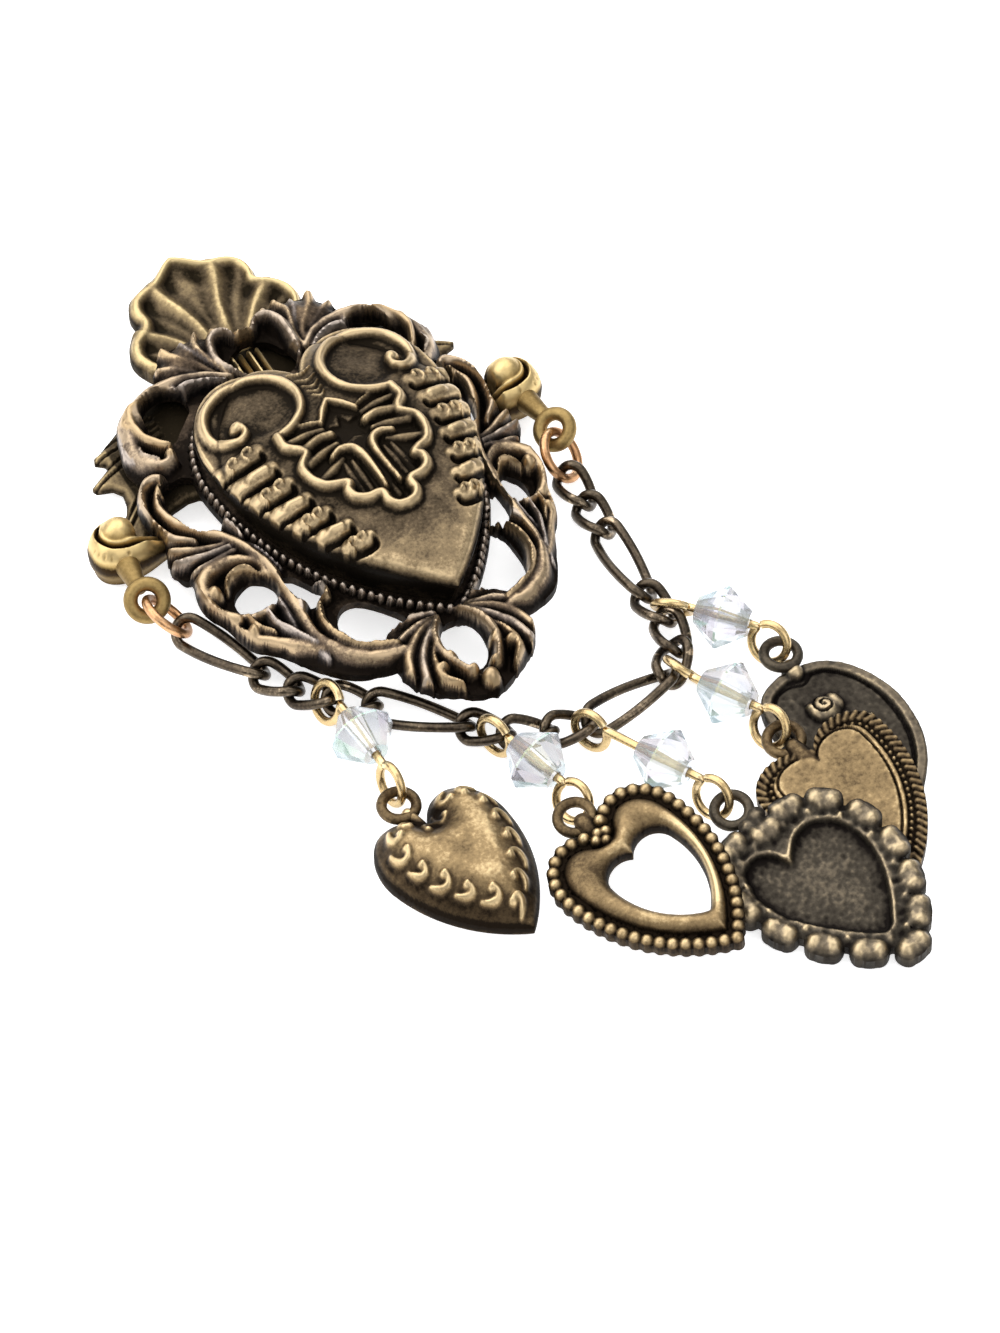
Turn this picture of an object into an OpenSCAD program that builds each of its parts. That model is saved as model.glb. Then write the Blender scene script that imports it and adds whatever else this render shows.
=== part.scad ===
// Drop brooch: a scrolled heart front on a shell back plate, with a swag chain
// and five heart charms hung on faceted crystals. It lies on its back, Z up.

/* [Heart front] */
// Half width of the raised heart
heart_half = 10; // [9.6:0.05:10.2]
// Distance from the lobe line to the tip
heart_tip = 19.3; // [18.5:0.1:19.6]
// Height of the face edge above the table
heart_edge_z = 7.2; // [6.8:0.1:7.6]
// Rise of the domed face
heart_dome = 2.1; // [1.2:0.1:2.4]

/* [Scroll frame] */
// Underside of the pierced frame
frame_z = 3.2; // [3.2:0.05:3.4]
// Thickness of the pierced plate
frame_plate = 1; // [0.7:0.1:1.2]
// How far the outer scrolls droop
frame_droop = 1.6; // [1.2:0.1:1.7]
// Half width of each bead on the rim
rim_bead = 0.4; // [0.3:0.05:0.45]

/* [Back plate] */
// Underside of the back plate
back_z = 2.4; // [2.4:0.05:2.5]
// Thickness of the back plate
back_thick = 0.65; // [0.5:0.05:0.65]
// Radius of the volute balls
volute_r = 2.15; // [1.9:0.05:2.2]
// Thickness of the shell
shell_thick = 1.1; // [0.8:0.1:1.2]

/* [Pin] */
// Diameter of the pin stem
pin_wire = 0.9; // [0.7:0.1:1]
// Length of the pin between its blocks
pin_span = 14.8; // [13:0.2:15]

/* [Chain] */
// Wire of the chain links
link_wire = 0.6; // [0.56:0.01:0.62]
// Bend radius of the link ends
link_end = 1.1; // [1.05:0.01:1.12]
// Length of a short link along its middle line
link_short = 3.95; // [3.9:0.01:4]
// Length of a long link along its middle line
link_long = 8; // [7.9:0.01:8.05]
// Wire of the two jump rings
ring_wire = 0.7; // [0.65:0.05:0.8]
// Middle radius of the jump rings
ring_r = 1.9; // [1.88:0.01:1.93]

/* [Drops] */
// Wire of the eye loops
eye_wire = 0.66; // [0.6:0.02:0.68]
// Middle radius of the eye loops
eye_r = 1.45; // [1.42:0.01:1.48]
// Width of a crystal
crystal_w = 4.8; // [4.4:0.1:5]
// Length of a crystal
crystal_l = 3.9; // [3.6:0.1:3.9]

/* [Charms] */
// Wire of the charm loops
bail_wire = 0.8; // [0.7:0.05:0.85]
// Plate thickness of the flat charms
charm_thick = 1; // [0.8:0.05:1.1]

/* [Hidden] */

brass = [0.55, 0.44, 0.27];
bronze = [0.42, 0.34, 0.22];
dark = [0.24, 0.21, 0.17];
gold = [0.74, 0.6, 0.34];
copper = [0.68, 0.44, 0.28];
glass = [0.86, 0.88, 0.93, 0.6];

heart_dx = 0.2;
heart_y = 0.7;
heart_turn = 2;
shell_at = [-1.26, 1.52];

// ---- small helpers
function unit(v) = v / norm(v);
function smooth(t) = let(u = min(1, max(0, t))) u * u * (3 - 2 * u);
function bez(p, t) = pow(1 - t, 3) * p[0] + 3 * t * pow(1 - t, 2) * p[1]
  + 3 * t * t * (1 - t) * p[2] + pow(t, 3) * p[3];
function bezdir(p, t) = unit(3 * pow(1 - t, 2) * (p[1] - p[0])
  + 6 * t * (1 - t) * (p[2] - p[1]) + 3 * t * t * (p[3] - p[2]));
function mix3(w, t) = t < 0.5 ? w[0] + (w[1] - w[0]) * 2 * t
  : w[1] + (w[2] - w[1]) * (2 * t - 1);
function flip(p) = [-p[0], p[1]];
module aim(v) {
  rotate([0, acos(v[2] / norm(v)), atan2(v[1], v[0])]) children();
}

// Half a heart from the tip up the side and over the lobe to the cleft.
// a half width, lx lobe centre, T tip, lr lobe rise, tau lean of the side
function heart_half_pts(a, lx, T, lr, tau, n) =
  let(R = (a * a + T * T) / (2 * (a * cos(tau) - T * sin(tau))),
    c = [a - R * cos(tau), R * sin(tau)],
    a1 = atan2(-T - c[1], -c[0]),
    rx = a - lx,
    t1 = acos(-lx / rx))
  concat(
    [for (k = [0:n]) c + R * [cos(a1 + (-tau - a1) * k / n), sin(a1 + (-tau - a1) * k / n)]],
    [for (k = [1:n]) [lx + rx * cos(t1 * k / n), lr * sin(t1 * k / n)]]);
function heart_pts(a, lx, T, lr, tau = 0, n = 8) =
  let(h = heart_half_pts(a, lx, T, lr, tau, n), m = len(h))
  concat(h, [for (k = [m - 2:-1:1]) flip(h[k])]);

// Outline of the raised heart in its own axes, and as it sits on the brooch
function front_own(g, n) = [for (p = heart_pts(heart_half + g, 4.6, heart_tip + 1.15 * g, 7 + g, 0, n))
  p + [0, heart_y]];
function turned(p, a) = [p[0] * cos(a) - p[1] * sin(a), p[0] * sin(a) + p[1] * cos(a)];
function front_pts(g, n) = [for (p = front_own(g, n)) turned(p, heart_turn) + [heart_dx, 0]];
function dome(p) = let(q = pow(p[0] / 10, 2) + pow((p[1] + 5.2) / 12.9, 2))
  heart_dome * pow(max(0, 1 - q), 0.62);

// mode 0 flat, 1 drooping frame, 2 domed heart
function droop(p) = smooth((abs(p[0]) - 8) / 6.5);
function seat(mode, p, z) = mode == 0 ? [p[0], p[1], z]
  : mode == 1 ? let(s = droop(p)) [sign(p[0]) * (abs(p[0]) - s) - 0.39 * s,
    p[1] + 0.69 * frame_droop * s, z - frame_droop * s]
  : [p[0], p[1], z + dome(p)];

// One band of a scroll: flat foot at z0, crest at zc, from p to q
module band(p, q, np, nq, wp, wq, z0, zp, zq, mode) {
  low = mode == 2 ? 0 : mode;
  pts = [
    seat(low, p - np * wp / 2, z0),
    seat(mode, p - np * wp * 0.27, zp),
    seat(mode, p + np * wp * 0.27, zp),
    seat(low, p + np * wp / 2, z0),
    seat(low, q - nq * wq / 2, z0),
    seat(mode, q - nq * wq * 0.27, zq),
    seat(mode, q + nq * wq * 0.27, zq),
    seat(low, q + nq * wq / 2, z0)
  ];
  hull() polyhedron(pts, [[0, 1, 2, 3], [4, 7, 6, 5], [0, 4, 5, 1], [1, 5, 6, 2], [2, 6, 7, 3], [3, 7, 4, 0]]);
}
// A leaf or stem: s = [four points, three widths, crest]
module stem(s, n, z0, mode, side = 1) {
  b = [for (k = [0:3]) side > 0 ? s[k] : flip(s[k])];
  for (k = [0:n - 1]) {
    t = k / n;
    u = (k + 1) / n;
    d = bezdir(b, t);
    e = bezdir(b, u);
    band(bez(b, t), bez(b, u), [-d[1], d[0]], [-e[1], e[0]], mix3(s[4], t), mix3(s[4], u),
      z0, s[5], s[5], mode);
  }
}
// A curl: c = [cx, cy, r0, r1, a0, a1, w0, w1, crest]
function curl_at(c, t, side) = let(r = c[2] + (c[3] - c[2]) * t, a = c[4] + (c[5] - c[4]) * t)
  [side * (c[0] + r * cos(a)), c[1] + r * sin(a)];
module curl(c, n, z0, mode, side = 1) {
  for (k = [0:n - 1]) {
    t = k / n;
    u = (k + 1) / n;
    m = [side * c[0], c[1]];
    p = curl_at(c, t, side);
    q = curl_at(c, u, side);
    band(p, q, unit(p - m), unit(q - m), c[6] + (c[7] - c[6]) * t, c[6] + (c[7] - c[6]) * u,
      z0, c[8], c[8], mode);
  }
}
// A rounded lump: b = [x, y, rx, ry, top]
module lump(b, z0, mode, side = 1, n = 7) {
  p = seat(mode, [side * b[0], b[1]], 0);
  translate([p[0], p[1], z0 + p[2]]) scale([b[2], b[3], 1]) hull() cylinder(r1 = 1, r2 = 0.5, h = b[4] - z0, $fn = n);
}

// ---- scroll frame
// columns: start, two pulls, end, widths, crest
STEMS = [
  [[13.6, 2.3], [15.8, 1.6], [15.9, -2], [13.4, -4.2], [0.8, 1.1, 1], 5.25],
  [[13.4, -4.2], [11.2, -5.4], [9.6, -7], [9.35, -10.2], [1, 1.1, 1.1], 5.5],
  [[9.35, -10.2], [9.2, -13.4], [9.9, -15.2], [9.2, -17], [1.1, 1.2, 1.2], 5.5],
  [[9.2, -17], [8.6, -18.9], [7, -20], [4.4, -20.3], [1.2, 1.5, 1.1], 5.4],
  [[12, -5.4], [13.4, -5], [14.8, -4.3], [15.6, -5], [0.9, 1.2, 0.8], 5.5],
  [[9.9, -9], [9.9, -7.2], [11, -6.8], [12.6, -7.6], [0.8, 1.1, 0.7], 5.8],
  [[9.9, -17.4], [11.2, -16.2], [12.6, -15.4], [13.4, -14], [1.1, 1.4, 0.8], 5.3],
  [[9.9, -17], [10.8, -15.2], [12.2, -14], [13.7, -12.2], [0.9, 1.1, 0.8], 5.6],
  [[5.2, -19.2], [7.4, -18.3], [8, -16], [7.2, -14.6], [0.6, 0.8, 0.6], 5.7],
  [[1.8, -18.4], [3.4, -18.6], [4.9, -18.4], [4.8, -17.4], [0.8, 0.8, 0.6], 5],
  [[0.9, -18.7], [2.4, -19.2], [4.2, -20.2], [5, -22], [0.6, 0.9, 0.8], 5.4],
  [[0.8, -18.9], [2.2, -19.8], [3.6, -21.4], [4.1, -23.8], [0.6, 0.9, 0.8], 5.6],
  [[0.8, -18.9], [2.2, -20.2], [2.3, -22.6], [1, -24.5], [0.6, 0.9, 0.8], 5.8],
  [[5.4, 10.2], [8, 11.9], [11.2, 11.2], [12.8, 8.4], [0.8, 1.3, 1.4], 5.5],
  [[12.8, 8.4], [14.2, 6.4], [14, 4.4], [12.6, 3.2], [1.4, 1.4, 0.9], 5.5],
  [[11.5, 9.7], [12.8, 7.6], [12.3, 5.6], [10.9, 4.9], [0.7, 1.1, 0.7], 5.9],
  [[2.9, 9.3], [2.2, 10.8], [2.9, 12.4], [2.2, 13.8], [0.6, 0.9, 0.9], 5.6],
  [[3.2, 9.3], [3.4, 10.8], [4.8, 12.2], [4.9, 13.7], [0.6, 1.2, 1.1], 5.4],
  [[3.7, 9.3], [4.6, 10.4], [6.4, 11.6], [7.1, 12.4], [0.6, 0.9, 0.8], 5.2],
  [[2, 8.8], [2.4, 10.4], [2.4, 12.2], [0.2, 12.1], [0.8, 0.9, 0.8], 5.7]
];
CURLS = [
  [13.2, 1.5, 1.9, 0.45, -15, 330, 0.9, 0.6, 5.7],
  [12.2, -9.2, 2.8, 2.7, 150, -50, 1.4, 1, 5.6],
  [13.4, -10.9, 0.9, 0.4, -60, 220, 0.7, 0.5, 5.7],
  [7, -14, 1.6, 0.5, -10, 280, 0.8, 0.6, 5.6],
  [11, 4.8, 1.9, 0.8, -50, -260, 1, 0.7, 5.7]
];
// columns: x, y, half width, half length, top
LUMPS = [
  [13.6, -7.1, 0.9, 0.7, 5.9],
  [14.4, -9.4, 0.75, 0.9, 5.8],
  [13.5, -12.1, 0.8, 0.8, 5.6],
  [1.8, -22.9, 0.8, 0.6, 5.9],
  [2.8, -24, 0.8, 0.6, 5.7]
];
EDGE = [
  [1.6, 12.9], [2.3, 13.9], [3.1, 13.4], [4, 13.7], [4.9, 13.4], [5.8, 13.8], [6.6, 13],
  [7.2, 12.2], [7.8, 11.3], [9.6, 11.1], [11.6, 10.2], [13, 8.6], [14, 6.6], [14.1, 4.8],
  [13.4, 3.4], [14.6, 2.5], [15.2, 1.2], [15.2, -0.8], [14.7, -2.6], [15.4, -4.2],
  [15.6, -5.2], [15.1, -6.2], [14.5, -6.7], [15.1, -8.4], [15.1, -10], [14.3, -11.6],
  [14, -13], [13.6, -14.4], [12.4, -15.3], [11, -17], [9.7, -18.7], [8, -20.3],
  [6, -20.9], [5.1, -20.9], [5.2, -22.2], [4.5, -23.8], [3.2, -24.9], [1.5, -25.8]
];
GAP_SIDE = [[12.7, 2.4], [12.9, 0.4], [12.9, -2.2], [11.8, -3.5], [10.8, -3], [10, -2.4], [10, 2.6]];
GAP_ROUND = [for (k = [0:11]) [11.4 + 1.35 * cos(30 * k), -10.5 + 1.35 * sin(30 * k)]];
GAP_RIM = [[8.75, -9.4], [8.75, -12.8], [7, -12.9], [7.6, -11]];
GAP_LOW = [[7.1, -16.6], [4.65, -14.7], [2.3, -17.8], [4.35, -17.3], [5.4, -18.6], [5.5, -19.2], [6.7, -18.35]];
GAP_TOP = [[10.6, 6.6], [10.7, 8.8], [9.4, 10], [7.6, 10], [7.2, 8.8], [9, 7.2], [9.9, 6.2]];
GAP_EYE = [[0, -19.2], [1, -20.2], [1.3, -21.5], [1, -22.8], [0, -24], [-1, -22.8], [-1.3, -21.5], [-1, -20.2]];
GAP_MID = [[-1.3, 8.4], [1.3, 8.4], [1.4, 10.2], [0.8, 11.2], [-0.8, 11.2], [-1.4, 10.2]];

function seat2(p) = let(q = seat(1, p, 0)) [q[0], q[1]];
module flat(pts, side) {
  polygon([for (p = pts) seat2(side > 0 ? p : flip(p))]);
}
// A plate whose sides droop with the scrolls
module sheet(z, h) {
  xs = [-17.6, -12.8, -11.2, -9.6, -8, 8, 9.6, 11.2, 12.8, 17.6];
  low = [for (x = xs) [seat2([x, 0])[0], z - frame_droop * droop([x, 0])]];
  translate([0, 25, 0]) rotate([90, 0, 0]) linear_extrude(55)
    polygon(concat(low, [for (k = [len(xs) - 1:-1:0]) low[k] + [0, h]]));
}
module frame_outline() {
  difference() {
    polygon([for (p = concat([[0, 12.4]], EDGE, [[0, -26.5]], [for (k = [len(EDGE) - 1:-1:0]) flip(EDGE[k])]))
      seat2(p)]);
    for (side = [-1, 1]) {
      flat(GAP_SIDE, side);
      flat(GAP_ROUND, side);
      flat(GAP_RIM, side);
      flat(GAP_LOW, side);
      flat(GAP_TOP, side);
    }
    polygon(GAP_EYE);
    polygon(GAP_MID);
  }
}
module frame_plate_solid() {
  intersection() {
    translate([0, 0, 0.5]) linear_extrude(6) frame_outline();
    sheet(frame_z, frame_plate);
  }
}
module rim_beads() {
  rim = front_pts(0, 5);
  m = len(rim);
  for (k = [0:m - 1]) {
    p = rim[k];
    translate([p[0], p[1], frame_z + 0.6]) rotate([0, 0, 30]) cylinder(r1 = rim_bead, r2 = rim_bead * 0.5, h = 1.05, $fn = 4);
  }
}
// The room the raised heart takes, with a gap of a tenth all round
module heart_room() {
  n = 7;
  low = front_pts(-0.58, n);
  high = front_pts(0.22, n);
  m = len(low);
  pts = concat([for (p = low) [p[0], p[1], frame_z + 0.8]], [for (p = high) [p[0], p[1], heart_edge_z]],
    [[heart_dx, -5, frame_z + 0.8], [heart_dx, -5, heart_edge_z]]);
  polyhedron(pts, concat(
    [for (j = [0:m - 1]) let(i = (j + 1) % m) [j, m + j, m + i]],
    [for (j = [0:m - 1]) let(i = (j + 1) % m) [j, m + i, i]],
    [for (j = [0:m - 1]) [m + j, 2 * m + 1, m + (j + 1) % m]],
    [for (j = [0:m - 1]) [j, (j + 1) % m, 2 * m]]));
}
module scroll_frame() {
  color(bronze) union() {
    difference() {
      union() {
        frame_plate_solid();
        translate([0, 0, frame_z + 0.25]) linear_extrude(0.55) polygon(front_pts(0.55, 8));
        for (side = [-1, 1]) {
          for (s = STEMS) stem(s, norm(s[3] - s[0]) > 4.5 ? 3 : 2, frame_z + 0.5, 1, side);
          for (c = CURLS) curl(c, 5, frame_z + 0.5, 1, side);
          for (b = LUMPS) lump(b, frame_z + 0.5, 1, side, 4);
        }
        lump([0, -25.6, 0.8, 0.9, 5.8], frame_z + 0.5, 0);
        lump([0, 12.4, 0.9, 0.8, 5.8], frame_z + 0.5, 0);
      }
      heart_room();
    }
    rim_beads();
  }
}

// ---- heart front
PETALS = [
  [3.6, -1.9, 1.35, 1.35, 130, -70, 0.5, 0.5, 7.95],
  [3.3, -5.2, 1.4, 1.4, 80, -100, 0.5, 0.5, 7.95],
  [2.1, -8.6, 1.3, 1.3, 60, -120, 0.5, 0.5, 7.95]
];
HEART_STEMS = [
  [[4.9, -0.8], [3.9, -0.1], [2, 0.4], [1, 1], [0.7, 0.6, 0.5], 7.9],
  [[1.3, -5.2], [3, -5.2], [3.2, -8.4], [1.6, -9.4], [0.5, 0.5, 0.5], 7.8],
  [[1.3, -5.2], [0.6, -6.4], [0.6, -8], [1, -9.4], [0.5, 0.5, 0.5], 7.8]
];
HEART_CURL = [4.75, 3.2, 3.6, 3.3, 252, -20, 0.85, 0.75, 7.95];
HEART_END = [7.2, 2.1, 0.75, 0.35, 0, -230, 0.7, 0.55, 8];
GADROONS = 6;
module gadroon(k, side) {
  t = k / (GADROONS - 1);
  long = 2.7 * (1 - 0.5 * t);
  x0 = 9.1 - 5.4 * pow(t, 1.7);
  p = [side * x0, -0.6 - 12.2 * t];
  q = p + [-side * long, 0.25 * long];
  w = 1.3 - 0.45 * t;
  band(p, q, [0, 1], [0, 1], w, w * 0.6, 7, 7.9, 7.75, 2);
}
module heart_front() {
  n = 7;
  rings = 4;
  edge = front_own(0, n);
  m = len(edge);
  foot = front_own(-0.8, n);
  mid = [0, -5];
  level = [1, 0.85, 0.6, 0.3];
  pts = concat(
    [for (p = foot) [p[0], p[1], frame_z + 0.92]],
    [for (k = [0:rings - 1]) for (p = edge) let(q = mid + (p - mid) * level[k])
      [q[0], q[1], heart_edge_z + (k == 0 ? 0 : dome(q))]],
    [[mid[0], mid[1], heart_edge_z + dome(mid)], [mid[0], mid[1], frame_z + 0.92]]);
  top = m * (rings + 1);
  faces = concat(
    [for (k = [0:rings - 1]) for (j = [0:m - 1]) let(i = (j + 1) % m)
      [k * m + j, (k + 1) * m + j, (k + 1) * m + i]],
    [for (k = [0:rings - 1]) for (j = [0:m - 1]) let(i = (j + 1) % m)
      [k * m + j, (k + 1) * m + i, k * m + i]],
    [for (j = [0:m - 1]) [rings * m + j, top, rings * m + (j + 1) % m]],
    [for (j = [0:m - 1]) [j, (j + 1) % m, top + 1]]);
  color(brass) translate([heart_dx, 0, 0]) rotate([0, 0, heart_turn]) union() {
    polyhedron(pts, faces);
    for (side = [-1, 1]) {
      for (k = [0:GADROONS - 1]) gadroon(k, side);
      for (c = PETALS) curl(c, 3, 7, 2, side);
      for (s = HEART_STEMS) stem(s, 2, 7, 2, side);
      curl(HEART_CURL, 6, 7, 2, side);
      curl(HEART_END, 3, 7, 2, side);
    }
    curl([0, -10.4, 1.2, 1.2, 200, 340, 0.5, 0.5, 7.9], 4, 7, 2);
  }
}

// ---- back plate with shell, arms, volutes and chain loops
SHELL = [
  [0, 22.2], [0.9, 21.7], [1.7, 21], [2.5, 20.4], [3.6, 20.3], [4.7, 19.7], [5.3, 18.6], [5.3, 17.6],
  [5.1, 17], [6.2, 16.4], [7.1, 15.2], [7.3, 13.8], [6.6, 12.2], [5.6, 10.8]
];
// columns: angle from the middle, inner radius, outer radius, crest
RIBS = [[0, 2.4, 8.6, 3.2], [16, 2.4, 7.6, 3.4], [31, 2.6, 8.4, 3.2], [48, 2.8, 7.2, 3.4], [64, 3, 7.6, 3.2]];
BACK = [
  [0, 12.9], [5, 12.9], [8.6, 12.2], [10.6, 11.6], [12.6, 10.6], [14.6, 9.6], [13.3, 8.6], [14.4, 8],
  [15.9, 6.9], [13.6, 6.2], [14, 4], [15.4, 2.6], [16.8, 1.2], [16.8, -1.4], [14.6, -1.4], [13.2, 0.4],
  [10.4, 0.7], [9, -1.2], [0, -1.2]
];
module volute(side) {
  at = [side * 16.85 - 0.85, 0, 2.6];
  difference() {
    translate(at) {
      sphere(r = volute_r, $fn = 9);
      for (k = [0:2]) hull() {
        for (a = [190 - 80 * k, 110 - 80 * k]) {
          translate([side * 1.7 * cos(a), 1.9 * sin(a) - 0.3, -0.9]) cylinder(d1 = 1.3, d2 = 0.7, h = 2.1, $fn = 5);
        }
      }
    }
    translate([0, 0, frame_z - frame_droop - 0.12]) linear_extrude(5)
      offset(delta = 1) polygon([for (p = [[13, 5], [14, 3], [15, 2.6], [15.3, 1.2], [15.3, -0.8], [14.7, -2.8], [13, -3.4]])
        seat2([side * p[0], p[1]])]);
  }
}
module chain_loop(side) {
  at = side > 0 ? [16.4, -5.8, 2.9] : [-18, -5.8, 2.9];
  d = unit(side > 0 ? [-0.8, -3.1, -1.4] : [1.5, -2.6, -1.4]);
  w = unit(cross(d, [0, 0, 1]));
  translate(at) aim(cross(w, d) * cos(30) + w * sin(30)) rotate_extrude($fn = 12) translate([1.27, 0])
    circle(d = 1, $fn = 5);
  hull() {
    translate([side * 16.85 - 0.85, -1.9, 2.6]) sphere(d = 1.6, $fn = 7);
    translate([at[0], -4.3, 2.9]) sphere(d = 1.1, $fn = 7);
  }
}
module rib(r, side) {
  a = 90 - side * r[0];
  o = [shell_at[0], 11.6 + shell_at[1]];
  d = [cos(a), sin(a)];
  nrm = [-sin(a), cos(a)];
  band(o + d * r[1], o + d * r[2], nrm, nrm, 0.5, 1.2, 1.6, 2.7, r[3], 0);
}
module back_plate() {
  color(brass) union() {
    intersection() {
      linear_extrude(6) translate([-0.8, 0])
        polygon(concat(BACK, [for (k = [len(BACK) - 1:-1:0]) flip(BACK[k])]));
      sheet(back_z, back_thick);
    }
    translate([shell_at[0], shell_at[1], 1.6]) rotate([0, 0, 1.5]) linear_extrude(shell_thick)
      polygon(concat(SHELL, [for (k = [len(SHELL) - 1:-1:1]) flip(SHELL[k])]));
    difference() {
      translate([shell_at[0], shell_at[1], 2.2]) rotate([0, 0, 1.5]) linear_extrude(1.1)
        polygon(concat(SHELL, [for (k = [len(SHELL) - 1:-1:1]) flip(SHELL[k])]));
      translate([shell_at[0], shell_at[1] + 0.9, 1.9]) rotate([0, 0, 1.5]) linear_extrude(3)
        scale([0.9, 0.925]) polygon(concat(SHELL, [for (k = [len(SHELL) - 1:-1:1]) flip(SHELL[k])]));
      translate([-15, 0, 2]) cube([30, 16.6, 3]);
    }
    translate([-4, 12.4, 1.6]) cube([6.4, 1.6, 1.5]);
    for (side = [-1, 1]) {
      for (r = RIBS) if (r[0] > 0 || side > 0) rib(r, side);
      volute(side);
      chain_loop(side);
    }
  }
}

// ---- pin, one plain piece under the heart
module pin_back() {
  color(gold) union() {
    translate([-pin_span / 2, 0, pin_wire / 2]) rotate([0, 90, 0]) cylinder(d = pin_wire, h = pin_span, $fn = 24);
    for (side = [-1, 1]) translate([side * 7.4 - 0.9, -0.9, 0]) cube([1.8, 1.8, 2.2]);
    translate([-8.3, -0.6, 1.6]) cube([16.6, 1.2, 0.6]);
  }
}

// ---- chain
JOINTS = [
  [-16.5, -8.4, 1.5], [-13.35, -14.65, 1.3], [-11.85, -17.25, 1.3], [-9.8, -19.4, 1.4],
  [-7.5, -21.3, 1.3], [-2.5, -26.2, 1.3], [-0.3, -28.3, 1.3], [2.6, -29.6, 1.3],
  [5.7, -30.4, 1.3], [12.6, -29.4, 1.3], [14.5, -27.4, 1.4], [15.1, -24.7, 1.5],
  [14.9, -21.9, 1.5], [15.4, -15.1, 1.3], [15.5, -12, 1.3], [15.6, -8.92, 1.5]
];
// Middle line of a flat oval link at s in 0..1, before it is twisted
function oval(L, r, s) = let(st = L - 2 * r, u = s * 4, k = floor(u), f = u - k)
  k == 0 ? [L / 2 - r + r * cos(-90 + 180 * f), r * sin(-90 + 180 * f)]
  : k == 1 ? [L / 2 - r - st * f, r]
  : k == 2 ? [-L / 2 + r + r * cos(90 + 180 * f), r * sin(90 + 180 * f)]
  : [-L / 2 + r + st * f, -r];
function twisted(L, r, s) = let(p = oval(L, r, s), a = 50 * p[0] / (L / 2)) [p[0], p[1] * cos(a), p[1] * sin(a)];
function on_link(A, B, L, q) = let(d = unit(B - A), w = unit(cross(d, [0, 0, 1])), u = cross(w, d))
  (A + B) / 2 + q[0] * d + q[1] * w + q[2] * u;
// A closed tube round a loop of points
module tube(path, wire, n, up) {
  m = len(path);
  pts = [for (j = [0:m - 1])
    let(t = unit(path[(j + 1) % m] - path[(j + m - 1) % m]), a = unit(cross(t, up)), b = cross(a, t))
    for (k = [0:n - 1]) path[j] + wire / 2 * (cos(360 * k / n) * a + sin(360 * k / n) * b)];
  polyhedron(pts, concat(
    [for (j = [0:m - 1]) for (k = [0:n - 1]) let(i = (j + 1) % m, l = (k + 1) % n)
      [j * n + k, i * n + l, i * n + k]],
    [for (j = [0:m - 1]) for (k = [0:n - 1]) let(i = (j + 1) % m, l = (k + 1) % n)
      [j * n + k, j * n + l, i * n + l]]));
}
LINK_STEPS = [0, 0.0625, 0.125, 0.1875, 0.25, 0.375, 0.5, 0.5625, 0.625, 0.6875, 0.75, 0.875];
module link(k) {
  A = JOINTS[k];
  B = JOINTS[k + 1];
  L = (k % 4 == 0) ? link_long : link_short;
  color(dark) tube([for (s = LINK_STEPS) on_link(A, B, L, twisted(L, link_end, s))], link_wire, 5, unit(B - A));
}
// columns: centre of the plate loop, first joint of the chain, lean
JUMPS = [[[-18, -5.8, 2.9], JOINTS[0], -47], [[16.4, -5.8, 2.9], JOINTS[15], -47]];
module jump_ring(k) {
  j = JUMPS[k];
  d = unit(j[1] - j[0]);
  w = unit(cross(d, [0, 0, 1]));
  n = w * cos(j[2]) + cross(w, d) * sin(j[2]);
  far = j[1] + 0.47 * d;
  color(copper) translate(far - d * ring_r) aim(n) rotate_extrude($fn = 28) translate([ring_r, 0])
    circle(d = ring_wire, $fn = 14);
}

// ---- drops
// columns: upper loop, heading, roll, lower loop, heading, roll, slide of the crystal
DROPS = [
  [[-10.4, -19.8, 1.75], -84.8, 26, [-9.9, -28.66, 1.83], -86.6, 10.5, 0.05],
  [[-1.3, -28.5, 1.9], -72.8, 8, [0.76, -36.26, 1.8], -71, 30, 0],
  [[5, -31.4, 1.9], -67.8, 12, [9.45, -41.15, 2.36], -70, 23, 0.9],
  [[13.75, -29.7, 1.65], -70.4, -34, [16.44, -37.46, 1.96], -73.5, 30, 0.05],
  [[16.05, -24.3, 1.72], -38.7, -27, [20.53, -30.57, 1.68], -62, 28, -0.04]
];
function ring_axis(az, roll) = [sin(az) * cos(roll), -cos(az) * cos(roll), sin(roll)];
function ring_up(az, roll) = cross([cos(az), sin(az), 0], -ring_axis(az, roll));
// Where the straight wire leaves a loop: above its middle, on the crystal's side
rise = 34;
function leave(c, az, roll, way) = c + eye_r * (way * cos(rise) * [cos(az), sin(az), 0]
  + sin(rise) * ring_up(az, roll));
module eye(c, v) {
  translate(c) aim(v) rotate_extrude($fn = 28) translate([eye_r, 0]) circle(d = eye_wire, $fn = 14);
}
module eye_wire_piece(k) {
  d = DROPS[k];
  a = leave(d[0], d[1], d[2], 1);
  b = leave(d[3], d[4], d[5], -1);
  color(gold) union() {
    eye(d[0], ring_axis(d[1], d[2]));
    eye(d[3], ring_axis(d[4], d[5]));
    translate(a) aim(b - a) cylinder(d = eye_wire, h = norm(b - a), $fn = 14);
    for (c = [a, b]) translate(c) sphere(d = eye_wire + 0.1, $fn = 14);
  }
}
module crystal(k) {
  d = DROPS[k];
  a = leave(d[0], d[1], d[2], 1);
  b = leave(d[3], d[4], d[5], -1);
  ax = unit(b - a);
  color(glass) translate((a + b) / 2 + ax * (d[6] - crystal_l / 2)) aim(ax) difference() {
    union() {
      cylinder(d1 = 2, d2 = crystal_w, h = crystal_l / 2, $fn = 8);
      translate([0, 0, crystal_l / 2]) cylinder(d1 = crystal_w, d2 = 2, h = crystal_l / 2, $fn = 8);
    }
    translate([0, 0, -1]) cylinder(d = eye_wire + 0.42, h = crystal_l + 2, $fn = 6);
  }
}

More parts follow.
